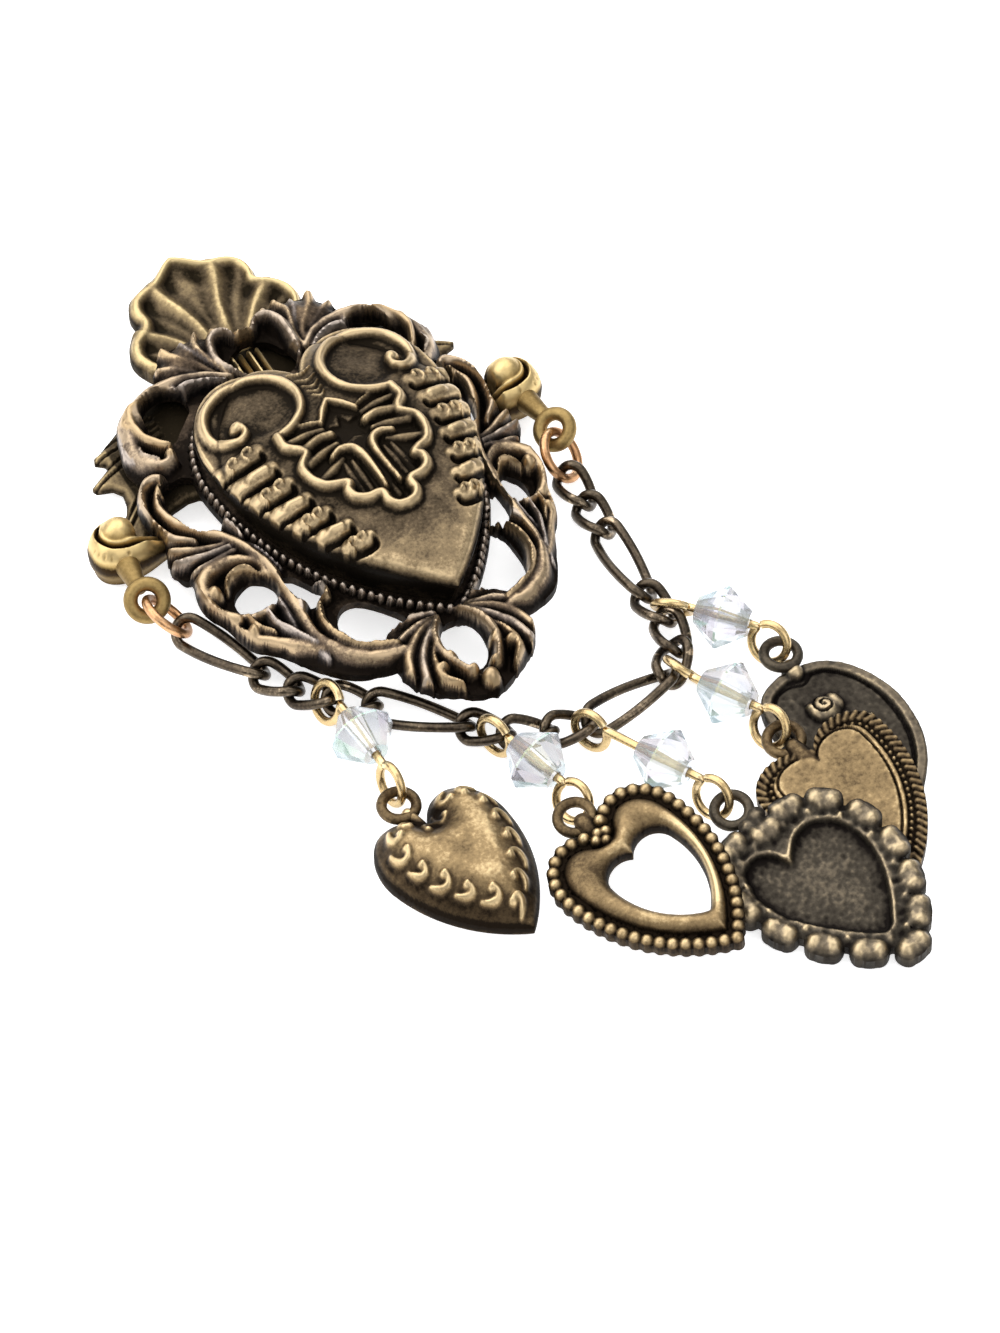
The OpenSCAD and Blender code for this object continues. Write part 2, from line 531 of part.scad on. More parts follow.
// ---- charms
// columns: half width, lobe, tip, lobe rise, side lean, x, y, turn, tilt heading, slope, underside
CHARMS = [
  [5.0, 2.35, 9.8, 4.2, 4, -8.9, -34.9, 14, 0, 0, 0.1],
  [5.92, 2.6, 11.49, 3.77, -2.5, 1.23, -42.42, 19, 206, 0.18, 1.95],
  [6.29, 3.0, 11.39, 3.85, 0, 12.71, -49.11, 20, 220, 0.175, 1.45],
  [5.56, 2.6, 10.72, 3.17, -3.4, 18, -42.19, 10, 209, 0.15, 1.22],
  [4.9, 2.3, 9.6, 4.9, 2, 21.7, -38.3, 10.5, 0, 0, 0.05]
];
// Bail hole of each charm in its own axes
BAILS = [[-0.1, 4.8], [0.2, 4.5], [-0.2, 6.9], [-0.5, 3.55], [0.35, 6.6]];
module lay(k) {
  c = CHARMS[k];
  v = [-sin(c[8]), cos(c[8]), 0];
  translate([c[5], c[6], c[10]]) rotate(a = atan(c[9]), v = v) rotate([0, 0, c[7]]) children();
}
function charm_pts(k, g, n) = let(c = CHARMS[k])
  heart_pts(c[0] + g, min(c[1], (c[0] + g) * 0.48), c[2] + 1.25 * g, c[3] + g, c[4], n);
module bail(k, z) {
  b = BAILS[k];
  translate([b[0], b[1], z]) rotate_extrude($fn = 12) translate([1.25, 0]) circle(d = bail_wire, $fn = 5);
}

// Point and outward direction on the border of charm k, t in 0..1 from the tip
function border(k, g, t) = let(h = charm_pts(k, g, 12), m = len(h), u = t * m, i = floor(u) % m)
  h[i] + (h[(i + 1) % m] - h[i]) * (u - floor(u));
module slab(k, g, z, h) {
  translate([0, 0, z]) linear_extrude(h) polygon(charm_pts(k, g, 5));
}
module wall(k, g_out, g_in, z, h) {
  translate([0, 0, z]) linear_extrude(h) difference() {
    polygon(charm_pts(k, g_out, 5));
    polygon(charm_pts(k, g_in, 5));
  }
}
module studs(k, g, count, r, z, h, n = 5) {
  for (j = [0:count - 1]) {
    p = border(k, g, (j + 0.5) / count);
    translate([p[0], p[1], z]) cylinder(r1 = r, r2 = r * 0.5, h = h, $fn = n);
  }
}
// A heart of stacked outlines: rows = [inset, height]
module puff(k, rows, mid, low) {
  ring = [for (r = rows) charm_pts(k, r[0], 5)];
  m = len(ring[0]);
  c = len(rows);
  pts = concat([for (i = [0:c - 1]) for (p = ring[i]) [p[0], p[1], rows[i][1]]],
    [[mid[0], mid[1], mid[2]], [mid[0], mid[1], low]]);
  polyhedron(pts, concat(
    [for (i = [0:c - 2]) for (j = [0:m - 1]) let(l = (j + 1) % m) [i * m + j, (i + 1) * m + j, (i + 1) * m + l]],
    [for (i = [0:c - 2]) for (j = [0:m - 1]) let(l = (j + 1) % m) [i * m + j, (i + 1) * m + l, i * m + l]],
    [for (j = [0:m - 1]) [(c - 1) * m + j, c * m, (c - 1) * m + (j + 1) % m]],
    [for (j = [0:m - 1]) [j, (j + 1) % m, c * m + 1]]));
}
module charm_puffed() {
  color(bronze) lay(0) union() {
    bail(0, 1.3);
    translate([-0.1, 2.7, 1.1]) cube([1.4, 2.4, 0.9], center = true);
    puff(0, [[-0.9, 0], [0, 0.8], [-0.1, 1.1], [-1.1, 1.5], [-2, 2.5], [-3, 3]], [0.2, -1.6, 3.3], 0);
    for (j = [0:9]) {
      p = border(0, -0.7, (j + 0.5) / 10);
      q = border(0, -1.9, (j + 0.8) / 10);
      band(p, q, [-(q - p)[1], (q - p)[0]] / norm(q - p), [-(q - p)[1], (q - p)[0]] / norm(q - p), 0.8, 0.5, 0.8, 1.9, 2.3, 0);
    }
  }
}
module charm_open() {
  color(gold) lay(1) union() {
    bail(1, 0.6);
    difference() {
      union() {
        slab(1, 0, 0, 0.8);
        hull() polyhedron([[-1.3, 2.3, 0], [1.5, 2.3, 0], [1.4, 4, 0], [-1, 4, 0], [-1.3, 2.3, 0.9], [1.5, 2.3, 0.9], [1.4, 4, 0.9], [-1, 4, 0.9]], [[0, 1, 2], [3, 4, 5], [5, 6, 7]]);
        wall(1, -1.2, -2.5, 0.4, 1.2);
      }
      translate([0.1, -1.1, -1]) linear_extrude(4) polygon(heart_pts(3.1, 1.45, 6.6, 1.9, -4, 6));
    }
    studs(1, -0.5, 20, 0.45, 0.6, 0.8, 4);
    for (b = [[-0.9, 2.6], [0, 2.1], [0.9, 2.7], [0, 1.3]]) {
      hull() translate([b[0], b[1], 0.7]) cylinder(r1 = 0.45, r2 = 0.22, h = 0.9, $fn = 5);
    }
  }
}
module charm_studded() {
  color(bronze) lay(2) union() {
    bail(2, 0.5);
    hull() {
      translate([-0.2, 4.9, 0.1]) cylinder(r = 0.9, h = 0.7, $fn = 6);
      translate([0, 2.2, 0.1]) cylinder(r = 2, h = 0.8, $fn = 6);
    }
    slab(2, -0.6, 0, 0.9);
    wall(2, -2.1, -2.4, 0.8, 0.55);
    for (j = [0:11]) {
      a = border(2, -1, (j + 0.27) / 12);
      b = border(2, -1, (j + 0.73) / 12);
      for (c = [a, b]) hull() {
        translate([c[0], c[1], 0.1]) cylinder(r1 = 0.85, r2 = 0.5, h = 1.4, $fn = 4);
      }
    }
  }
}
module charm_roped() {
  color(bronze) lay(3) union() {
    bail(3, 0.5);
    translate([-0.4, 2.2, 0.5]) cube([2, 1.6, 0.8], center = true);
    slab(3, -0.1, 0, 0.9);
    slab(3, -1.5, 0.5, 0.7);
    for (j = [0:15]) {
      p = border(3, 0.05, j / 16);
      q = border(3, -0.75, (j + 0.6) / 16);
      hull() for (c = [p, q]) translate([c[0], c[1], 0.2]) cylinder(d1 = 0.8, d2 = 0.4, h = 1, $fn = 4);
    }
  }
}
ROSE = [[0, 0, 0.5, 1.9], [0.75, 0.2, 0.55, 1.6], [-0.7, 0.3, 0.55, 1.6], [0.1, 0.8, 0.55, 1.6], [0, -0.8, 0.55, 1.6]];
module charm_rose() {
  color(dark) lay(4) union() {
    bail(4, 1.4);
    translate([-0.6, 2.6, 0.2]) cube([1.8, 2.8, 1.5]);
    slab(4, 0, 0, 0.8);
    wall(4, 0, -0.7, 0.7, 0.35);
    for (r = ROSE) hull() translate([0.6 + r[0], 0.9 + r[1], 0.5]) cylinder(r1 = r[2] + 0.1, r2 = r[2] * 0.6, h = r[3] - 0.6, $fn = 5);
    stem([[0.2, -0.2], [-0.4, -1], [-0.6, -2.2], [0.1, -3.4], [0.4, 0.5, 0.4], 1.05], 4, 0.6, 0);
    stem([[-0.4, -1.4], [-1.2, -1], [-1.9, -1.2], [-2.4, -2], [0.4, 0.9, 0.4], 1.1], 3, 0.6, 0);
    stem([[-0.3, -1.8], [0.6, -1.6], [1.4, -1.9], [1.9, -2.7], [0.4, 0.9, 0.4], 1.1], 3, 0.6, 0);
  }
}

back_plate();
scroll_frame();
heart_front();
pin_back();
jump_ring(0);  // jump_ring_left
jump_ring(1);  // jump_ring_right
link(0);  // link_01
link(1);  // link_02
link(2);  // link_03
link(3);  // link_04
link(4);  // link_05
link(5);  // link_06
link(6);  // link_07
link(7);  // link_08
link(8);  // link_09
link(9);  // link_10
link(10);  // link_11
link(11);  // link_12
link(12);  // link_13
link(13);  // link_14
link(14);  // link_15
eye_wire_piece(0);  // eye_wire_1
eye_wire_piece(1);  // eye_wire_2
eye_wire_piece(2);  // eye_wire_3
eye_wire_piece(3);  // eye_wire_4
eye_wire_piece(4);  // eye_wire_5
crystal(0);  // crystal_1
crystal(1);  // crystal_2
crystal(2);  // crystal_3
crystal(3);  // crystal_4
crystal(4);  // crystal_5
charm_puffed();
charm_open();
charm_studded();
charm_roped();
charm_rose();
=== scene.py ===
"""Looks of the drop brooch: cast relief, chain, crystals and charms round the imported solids."""

import math

import bpy
import numpy as np
from mathutils import Matrix, Vector


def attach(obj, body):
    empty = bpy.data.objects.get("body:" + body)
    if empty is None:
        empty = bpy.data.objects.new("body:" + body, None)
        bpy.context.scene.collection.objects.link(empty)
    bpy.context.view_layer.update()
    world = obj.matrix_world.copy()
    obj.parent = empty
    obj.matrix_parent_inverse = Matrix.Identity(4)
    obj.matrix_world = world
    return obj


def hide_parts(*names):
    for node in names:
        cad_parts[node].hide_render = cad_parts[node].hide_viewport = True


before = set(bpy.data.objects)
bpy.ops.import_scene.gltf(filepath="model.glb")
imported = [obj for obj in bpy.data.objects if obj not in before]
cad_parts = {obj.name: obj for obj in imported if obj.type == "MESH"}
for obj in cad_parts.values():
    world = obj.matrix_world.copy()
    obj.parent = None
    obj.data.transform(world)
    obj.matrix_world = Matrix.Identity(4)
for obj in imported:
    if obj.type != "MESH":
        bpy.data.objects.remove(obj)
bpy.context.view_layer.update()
MM = 0.001

# Sizes in mm, mostly those of the part's source; the heart turns a little more here
FRAME_Z, FRAME_PLATE, FRAME_DROOP = 3.2, 1.0, 1.6
BACK_Z, BACK_THICK = 2.4, 0.65
HEART_HALF, HEART_LOBE, HEART_TIP, HEART_RISE = 10.0, 4.6, 19.3, 7
HEART_EDGE, HEART_DOME = 7.2, 2.1
HEART_DX, HEART_Y, HEART_TURN = 0.2, 0.7, math.radians(3.2)
SHELL_AT, SHELL_TURN = (-1.05, 1.6), math.radians(1.5)
RIM_BEADS, SCROLL_SPREAD, GADROONS = 104, 1.3, 7
# Steps of the grids that the reliefs are cast from
FRAME_STEP, BACK_STEP, VOLUTE_STEP = 0.138, 0.13, 0.07
HEART_STEP = SHELL_STEP = CHARM_STEP = 0.1


# Curves
def bezier(p, n=14):
    t = np.linspace(0, 1, n + 1)[:, None]
    p = np.array(p, float)
    return (1 - t) ** 3 * p[0] + 3 * t * (1 - t) ** 2 * p[1] + 3 * t * t * (1 - t) * p[2] + t ** 3 * p[3]


def spline(pts, n=8, closed=False):
    """A smooth line through the points."""
    p = np.array(pts, float)
    first, last = (p[-1:], p[:2]) if closed else (2 * p[:1] - p[1:2], 2 * p[-1:] - p[-2:-1])
    q = np.concatenate([first, p, last])
    t = np.linspace(0, 1, n + 1)[:-1, None]
    out = []
    for a, b, c, d in zip(q, q[1:], q[2:], q[3:]):
        square, cube = 2 * a - 5 * b + 4 * c - d, 3 * b - 3 * c + d - a
        out.append(0.5 * (2 * b + (c - a) * t + square * t ** 2 + cube * t ** 3))
    return np.concatenate(out if closed else out + [p[-1:]])


def spiral(cx, cy, r0, r1, a0, a1, n=28):
    t = np.linspace(0, 1, n + 1)
    r, a = r0 + (r1 - r0) * t, np.radians(a0 + (a1 - a0) * t)
    return np.stack([cx + r * np.cos(a), cy + r * np.sin(a)], -1)


def chaikin(pts, times=2):
    """A closed outline with its corners cut, that many times over."""
    p = np.array(pts, float)
    for _ in range(times):
        q = np.roll(p, -1, 0)
        p = np.stack([0.75 * p + 0.25 * q, 0.25 * p + 0.75 * q], 1).reshape(-1, 2)
    return p


def mirrored(half):
    """A closed outline from its right half, which runs from the top to the bottom."""
    h = np.array(half, float)
    return np.concatenate([h, (h * [-1, 1])[::-1]])


def heart_half(a, lx, tip, lr, tau=0.0, n=24):
    """Right half of a heart, from the tip to the cleft: half width, place of the lobe, depth of the tip,
    rise of the lobe, lean of the side in degrees."""
    tau = math.radians(tau)
    big = (a * a + tip * tip) / (2 * (a * math.cos(tau) - tip * math.sin(tau)))
    c = np.array([a - big * math.cos(tau), big * math.sin(tau)])
    a1 = math.atan2(-tip - c[1], -c[0])
    rx = a - lx
    t1 = math.acos(-lx / rx)
    side = [c + big * np.array([math.cos(u), math.sin(u)]) for u in np.linspace(a1, -tau, n + 1)]
    lobe = [np.array([lx + rx * math.cos(u), lr * math.sin(u)]) for u in np.linspace(0, t1, n + 1)[1:]]
    return np.array(side + lobe)


def heart_outline(*sizes):
    h = heart_half(*sizes)
    return np.concatenate([h, (h[1:-1] * [-1, 1])[::-1]])


def resample(pts, count):
    """Evenly spaced points on a closed line, and the unit direction at each."""
    p = np.concatenate([pts, pts[:1]])
    s = np.concatenate([[0], np.cumsum(np.hypot(*np.diff(p, axis=0).T))])
    at = lambda u: np.stack([np.interp(u, s, p[:, k]) for k in (0, 1)], -1)
    u = np.linspace(0, s[-1], count + 1)[:-1]
    q = at(u)
    d = at((u + s[-1] * 0.002) % s[-1]) - q
    return q, d / np.maximum(np.hypot(*d.T), 1e-9)[:, None]


def turned(p, a):
    p = np.asarray(p, float)
    c, s = math.cos(a), math.sin(a)
    return np.stack([p[..., 0] * c - p[..., 1] * s, p[..., 0] * s + p[..., 1] * c], -1)


def turn_flat(angle, at):
    """Turns points about the upright axis and moves them over the table."""
    return lambda v: np.concatenate([turned(v[:, :2], angle) + at, v[:, 2:]], -1)


def smooth(t):
    u = np.clip(t, 0, 1)
    return u * u * (3 - 2 * u)


def droop(x):
    return smooth((np.abs(x) - 8) / 6.5)


def seat(v):
    """From the table of the frame's strokes to their true place: the sides droop."""
    s = droop(v[:, 0])
    x = np.sign(v[:, 0]) * (np.abs(v[:, 0]) - s) - 0.39 * s
    return np.stack([x, v[:, 1] + 0.69 * FRAME_DROOP * s, v[:, 2] - FRAME_DROOP * s], -1)


DROOP_TABLE = np.linspace(-20, 20, 801)
DROOP_TRUE = seat(np.stack([DROOP_TABLE, 0 * DROOP_TABLE, 0 * DROOP_TABLE], -1))[:, 0]


def seat_true(v):
    """Only lowers what is already in its true place, as the back plate is."""
    s = droop(np.interp(v[:, 0], DROOP_TRUE, DROOP_TABLE))
    return np.stack([v[:, 0], v[:, 1], v[:, 2] - FRAME_DROOP * s], -1)


def heart_dome(x, y):
    q = (x / 10) ** 2 + ((y + 5.2) / 12.9) ** 2
    return HEART_DOME * np.clip(1 - q, 0, None) ** 0.62


# Relief: heights over a grid
class Relief:
    """gap is the distance to the piece's edge, below zero inside. shade and tone go to the material: shade is
    added to wear_and_shade, as painted light and shade in some places and as the metal's own lighter or
    darker colour in others.
    """

    def __init__(self, x0, y0, x1, y1, step, base):
        self.step = step
        self.xs, self.ys = np.arange(x0, x1, step), np.arange(y0, y1, step)
        self.x, self.y = np.meshgrid(self.xs, self.ys)
        self.z = np.full(self.x.shape, float(base))
        self.gap = np.full(self.x.shape, 9.0)
        self.tone = np.zeros(self.x.shape)
        self.shade = np.zeros(self.x.shape)

    def from_line(self, a, b, win=...):
        """Each point's offset from the nearest one of the line a-b, and how far along that one is."""
        e = b - a
        wx, wy = self.x[win] - a[0], self.y[win] - a[1]
        t = np.clip((wx * e[0] + wy * e[1]) / max(e @ e, 1e-12), 0, 1)
        return wx - e[0] * t, wy - e[1] * t, t

    def sdf(self, pts):
        """Distance to a closed outline, below zero inside."""
        p = np.asarray(pts, float)
        best = np.full(self.x.shape, 1e9)
        odd = np.zeros(self.x.shape, bool)
        for a, b in zip(p, np.roll(p, -1, 0)):
            dx, dy, _ = self.from_line(a, b)
            best = np.minimum(best, dx ** 2 + dy ** 2)
            if a[1] != b[1]:
                cross = a[0] + (b[0] - a[0]) * (self.y - a[1]) / (b[1] - a[1])
                odd ^= ((a[1] > self.y) != (b[1] > self.y)) & (self.x < cross)
        return np.where(odd, -1, 1) * np.sqrt(best)

    def window(self, lo, hi):
        j = np.searchsorted(self.xs, [lo[0], hi[0]])
        i = np.searchsorted(self.ys, [lo[1], hi[1]])
        return slice(max(i[0] - 1, 0), i[1] + 1), slice(max(j[0] - 1, 0), j[1] + 1)

    def along(self, pts, width):
        """For each stretch of a line: its number, window, distances, shares of the way, half widths."""
        pts = np.asarray(pts, float)
        w = np.interp(np.linspace(0, 1, len(pts)), np.linspace(0, 1, len(width)), width) / 2
        for k, (a, b) in enumerate(zip(pts, pts[1:])):
            pad = max(w[k], w[k + 1]) + 2 * self.step
            win = self.window(np.minimum(a, b) - pad, np.maximum(a, b) + pad)
            dx, dy, t = self.from_line(a, b, win)
            yield k, win, np.hypot(dx, dy), t, w[k] + (w[k + 1] - w[k]) * t

    def heap(self, win, z, mask, tone, lift):
        """Puts z where it stands above what is there."""
        if lift is not None:
            z = z + lift[win]
        hit = mask & (z > self.z[win])
        self.z[win] = np.where(hit, z, self.z[win])
        self.tone[win] = np.where(hit, tone, self.tone[win])

    def stroke(self, pts, width, crest, foot, cut=0.0, tone=0.0, power=0.6, grow=True, lift=None):
        """A rounded ridge along a line. width and crest are lists spread along it. cut is the depth of
        a groove down its middle. With grow the piece's edge moves out to hold it."""
        c = np.interp(np.linspace(0, 1, len(pts)), np.linspace(0, 1, len(crest)), crest)
        for k, win, d, t, w in self.along(pts, width):
            q = np.clip(1 - (d / w) ** 2, 0, 1)
            z = foot + (c[k] + (c[k + 1] - c[k]) * t - foot) * q ** power
            if cut:
                z = z - cut * (0.5 + 0.5 * np.cos(2 * math.pi * d / w)) * q ** 0.5
            self.heap(win, z, d < w, tone, lift)
            if grow:
                self.gap[win] = np.minimum(self.gap[win], d - w * 0.93)

    def blob(self, x, y, rx, ry, top, foot, angle=0.0, tone=0.0, power=0.5, grow=True, lift=None):
        r = max(rx, ry) + 2 * self.step
        win = self.window((x - r, y - r), (x + r, y + r))
        p = turned(np.stack([self.x[win] - x, self.y[win] - y], -1), -math.radians(angle))
        q = (p[..., 0] / rx) ** 2 + (p[..., 1] / ry) ** 2
        self.heap(win, foot + (top - foot) * np.clip(1 - q, 0, 1) ** power, q < 1, tone, lift)
        if grow:
            self.gap[win] = np.minimum(self.gap[win], (np.sqrt(q) - 0.95) * min(rx, ry))

    def balls(self, pts, radius, top, foot, **how):
        for x, y in pts:
            self.blob(x, y, radius, radius, top, foot, **how)

    def groove(self, pts, width, depth):
        """Cuts a rounded channel along a line."""
        cut = np.zeros(self.x.shape)
        for _, win, d, _, w in self.along(pts, width):
            cut[win] = np.maximum(cut[win], np.clip(1 - (d / w) ** 2, 0, 1))
        self.z -= depth * cut

    def grain(self, size, depth, seed, where=1.0):
        """Soft pitting of that size in mm."""
        rng = np.random.default_rng(seed)
        n = blur(rng.standard_normal(self.z.shape), size / self.step)
        self.z += depth * n / n.std() * where


def blur(a, sigma):
    """Gaussian blur by Fourier transform, with the border's values carried outwards."""
    pad = int(min(3 * sigma + 2, min(a.shape) - 1))
    b = np.pad(a, pad, mode="edge")
    fy, fx = np.fft.fftfreq(b.shape[0])[:, None], np.fft.rfftfreq(b.shape[1])[None]
    k = np.exp(-2 * (math.pi * sigma) ** 2 * (fx ** 2 + fy ** 2))
    return np.fft.irfft2(np.fft.rfft2(b) * k, b.shape)[pad:-pad, pad:-pad]


# Width of the blur and height that counts in full, both in mm, and weight: crests come out rubbed bright,
# hollows dark with patina and painted shade
WEAR_AND_SHADE_SCALES = ((0.16, 0.06, 0.13), (0.55, 0.28, 0.2), (1.3, 0.8, 0.22))


def wear_and_shade_of(rel):
    """How far each point stands out from its surroundings, near 0 in hollows and 1 on crests."""
    z = np.where(rel.gap < 0.25, rel.z, np.minimum(rel.z, np.median(rel.z)))
    # Low values are dark hollows, both patina and painted shade; high ones are rubbed crests
    wear_and_shade = 0.42
    for size, full, weight in WEAR_AND_SHADE_SCALES:
        wear_and_shade = wear_and_shade + weight * ((z - blur(z, size / rel.step)) / full)
    return np.clip(wear_and_shade + rel.shade, 0, 1)


# Meshes
def put(name, verts, faces, material, nodes, attrs=(), angle=50, body="root"):
    """Makes a mesh piece from mm. faces is a list of integer arrays, one per corner count."""
    me = bpy.data.meshes.new(name)
    verts = np.asarray(verts, float) * MM
    loops = np.concatenate([f.ravel() for f in faces])
    sizes = np.concatenate([np.full(len(f), f.shape[1]) for f in faces])
    me.vertices.add(len(verts))
    me.vertices.foreach_set("co", verts.ravel())
    me.loops.add(len(loops))
    me.loops.foreach_set("vertex_index", loops.astype(np.int32))
    me.polygons.add(len(sizes))
    me.polygons.foreach_set("loop_start", (np.cumsum(sizes) - sizes).astype(np.int32))
    for key, values in attrs:
        me.attributes.new(key, "FLOAT", "POINT").data.foreach_set("value", np.asarray(values, np.float32))
    me.update(calc_edges=True)
    me.validate()
    me.shade_smooth()
    me.set_sharp_from_angle(angle=math.radians(angle))
    ob = bpy.data.objects.new(name, me)
    bpy.context.scene.collection.objects.link(ob)
    me.materials.append(material)
    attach(ob, body)
    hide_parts(*nodes)


def grouped(faces):
    """Face arrays gathered by their number of corners."""
    by_count = {}
    for f in faces:
        by_count.setdefault(f.shape[1], []).append(f)
    return [np.concatenate(v) for v in by_count.values()]


def cast(rel, place, under, walls=(), wall_wear_and_shade=0.02):
    """A closed solid from a relief: the squares of its grid, cut where the gap crosses zero. under is the
    underside, as a number, a grid or a function of x and y. walls are (scale, height) rings between the
    top edge and it, about the origin. Returns vertices, faces and attributes."""
    g = rel.gap.copy()
    g[0], g[-1], g[:, 0], g[:, -1] = 1, 1, 1, 1
    tiny = 0.06 * rel.step
    g = np.where(np.abs(g) < tiny, np.where(g < 0, -tiny, tiny), g)
    inside = g < 0
    ny, nx = g.shape
    big = ny * nx
    ids = np.arange(big).reshape(ny, nx)
    case = inside[:-1, :-1] * 1 + inside[:-1, 1:] * 2 + inside[1:, 1:] * 4 + inside[1:, :-1] * 8
    polys, rims = [], []
    for kind in range(1, 16):
        i, j = np.nonzero(case == kind)
        if not len(i):
            continue
        # A point on an edge of the grid has the number of its corner plus once or twice the grid's size
        corner = [ids[i, j], ids[i, j + 1], ids[i + 1, j + 1], ids[i + 1, j]]
        edge = [big + ids[i, j], 2 * big + ids[i, j + 1], big + ids[i + 1, j], 2 * big + ids[i, j]]
        walk = []
        for k in range(4):
            here, nxt = kind >> k & 1, kind >> (k + 1) % 4 & 1
            if here:
                walk.append((corner[k], False))
            if here != nxt:
                walk.append((edge[k], True))
        polys.append(np.stack([p for p, _ in walk], -1))
        for (p, cut), (q, next_cut) in zip(walk, walk[1:] + walk[:1]):
            if cut and next_cut:
                rims.append(np.stack([p, q], -1))
    polys = grouped(polys)
    used = np.unique(np.concatenate([p.ravel() for p in polys]))
    kind, at = used // big, used % big
    other = np.where(kind == 1, at + 1, np.where(kind == 2, at + nx, at))
    gf = g.ravel()
    t = np.where(kind > 0, gf[at] / np.where(kind > 0, gf[at] - gf[other], 1), 0)
    t = np.clip(t, 0.08, 0.92) * (kind > 0)
    mixed = lambda f: f.ravel()[at] * (1 - t) + f.ravel()[other] * t
    x, y, z, wear_and_shade, tone = [mixed(f) for f in (rel.x, rel.y, rel.z, wear_and_shade_of(rel), rel.tone)]
    if callable(under):
        under = under(x, y)
    elif np.ndim(under):
        under = mixed(under)
    polys = [np.searchsorted(used, p) for p in polys]
    rims = np.searchsorted(used, np.concatenate(rims))
    edge_ids = np.unique(rims)
    top = np.stack([x, y, z], -1)
    low = np.stack([x, y, np.minimum(under, z - 0.05)], -1)
    rings, scale = [], 1.0
    for scale, height in walls:
        ring = top[edge_ids]
        ring[:, :2] *= scale
        ring[:, 2] = height
        rings.append(ring)
    low[:, :2] *= scale
    verts = [top, *rings, low]
    offs = np.cumsum([0] + [len(v) for v in verts])
    faces = polys + [p[:, ::-1] + offs[-2] for p in polys]
    in_ring = np.searchsorted(edge_ids, rims)
    layers = [rims] + [offs[k + 1] + in_ring for k in range(len(rings))] + [rims + offs[-2]]
    for up, down in zip(layers, layers[1:]):
        faces.append(np.stack([up[:, 1], up[:, 0], down[:, 0], down[:, 1]], -1))
    n, n_walls = len(used), sum(len(ring) for ring in rings)
    # The walls' rings take wall_wear_and_shade; its default, near black, is a painted shade on the walls
    attrs = [("wear_and_shade", np.concatenate([wear_and_shade, np.full(n_walls, wall_wear_and_shade), np.full(n, 0.3)])),
             ("tone", np.concatenate([tone, np.zeros(n_walls + n)]))]
    return place(np.concatenate(verts)), grouped(faces), attrs


def unit(v):
    v = np.asarray(v, float)
    return v / np.linalg.norm(v)


def across(d):
    """The level direction across d, and the one at right angles to both."""
    w = unit(np.cross(d, (0, 0, 1)))
    return w, np.cross(w, d)


def quads_between(rows, columns, count):
    """Quads of the first count rows of points, each row a closed ring."""
    j, i = np.arange(count)[:, None], np.arange(columns)[None]
    nj, ni = (j + 1) % rows, (i + 1) % columns
    corners = [j * columns + i, j * columns + ni, nj * columns + ni, nj * columns + i]
    return np.stack(corners, -1).reshape(-1, 4)


def sweep(path, radius, sides=12, closed=False):
    """A wire along points in mm. Returns vertices and faces."""
    p = np.asarray(path, float)
    n = len(p)
    radius = np.broadcast_to(np.asarray(radius, float), (n,))
    t = np.roll(p, -1, 0) - np.roll(p, 1, 0) if closed else np.gradient(p, axis=0)
    t /= np.linalg.norm(t, axis=1)[:, None]
    side = [across(t[0])[0]]
    for k in range(1, n):
        side.append(unit(side[-1] - t[k] * (side[-1] @ t[k])))
    side = np.array(side)
    if closed:
        # Spread the leftover turn over the loop, so that its ends meet
        back = unit(side[-1] - t[0] * (side[-1] @ t[0]))
        ang = -math.atan2(np.cross(side[0], back) @ t[0], side[0] @ back) * np.arange(n) / n
        side = side * np.cos(ang)[:, None] + np.cross(t, side) * np.sin(ang)[:, None]
    other = np.cross(t, side)
    k = np.arange(sides) * 2 * math.pi / sides
    ring = np.cos(k)[None, :, None] * side[:, None] + np.sin(k)[None, :, None] * other[:, None]
    v = (p[:, None] + ring * radius[:, None, None]).reshape(-1, 3)
    quads = quads_between(n, sides, n if closed else n - 1)
    if closed:
        return v, [quads]
    i, last = np.arange(sides), (n - 1) * sides
    ni = (i + 1) % sides
    caps = [np.stack([np.full(sides, n * sides), ni, i], -1),
            np.stack([np.full(sides, n * sides + 1), last + i, last + ni], -1)]
    return np.concatenate([v, p[:1], p[-1:]]), [quads, *caps]


def revolve(profile, centre, axis, sides=48):
    """A closed ring round an axis from a closed profile of (radius, height)."""
    z = unit(axis)
    x = unit(np.cross(z, (0, 0, 1) if abs(z[2]) < 0.9 else (1, 0, 0)))
    p = np.asarray(profile, float)
    a = np.arange(sides) * 2 * math.pi / sides
    d = np.cos(a)[:, None] * x + np.sin(a)[:, None] * np.cross(z, x)
    v = (np.asarray(centre, float) + d[:, None] * p[None, :, :1] + z * p[None, :, 1:]).reshape(-1, 3)
    return v, [quads_between(sides, len(p), sides)[:, [0, 3, 2, 1]]]


def torus(centre, axis, radius, wire, sides=56, round_=16):
    a = np.arange(round_) * 2 * math.pi / round_
    prof = np.stack([radius + wire / 2 * np.cos(a), wire / 2 * np.sin(a)], -1)
    return revolve(prof, centre, axis, sides)


def fused(pieces):
    """One mesh of several, each given as vertices, faces and its wear and painted shade."""
    verts, faces, wear_and_shade, off = [], [], [], 0
    for v, fs, w in pieces:
        verts.append(v)
        faces += [f + off for f in fs]
        wear_and_shade.append(np.broadcast_to(w, len(v)))
        off += len(v)
    return np.concatenate(verts), grouped(faces), [("wear_and_shade", np.concatenate(wear_and_shade)), ("tone", np.zeros(off))]


# Materials
def nodes_of(name):
    mat = bpy.data.materials.new(name)
    mat.use_nodes = True
    nt = mat.node_tree
    nt.nodes.clear()
    out = nt.nodes.new("ShaderNodeOutputMaterial")
    bsdf = nt.nodes.new("ShaderNodeBsdfPrincipled")
    nt.links.new(bsdf.outputs[0], out.inputs[0])
    return mat, nt, bsdf


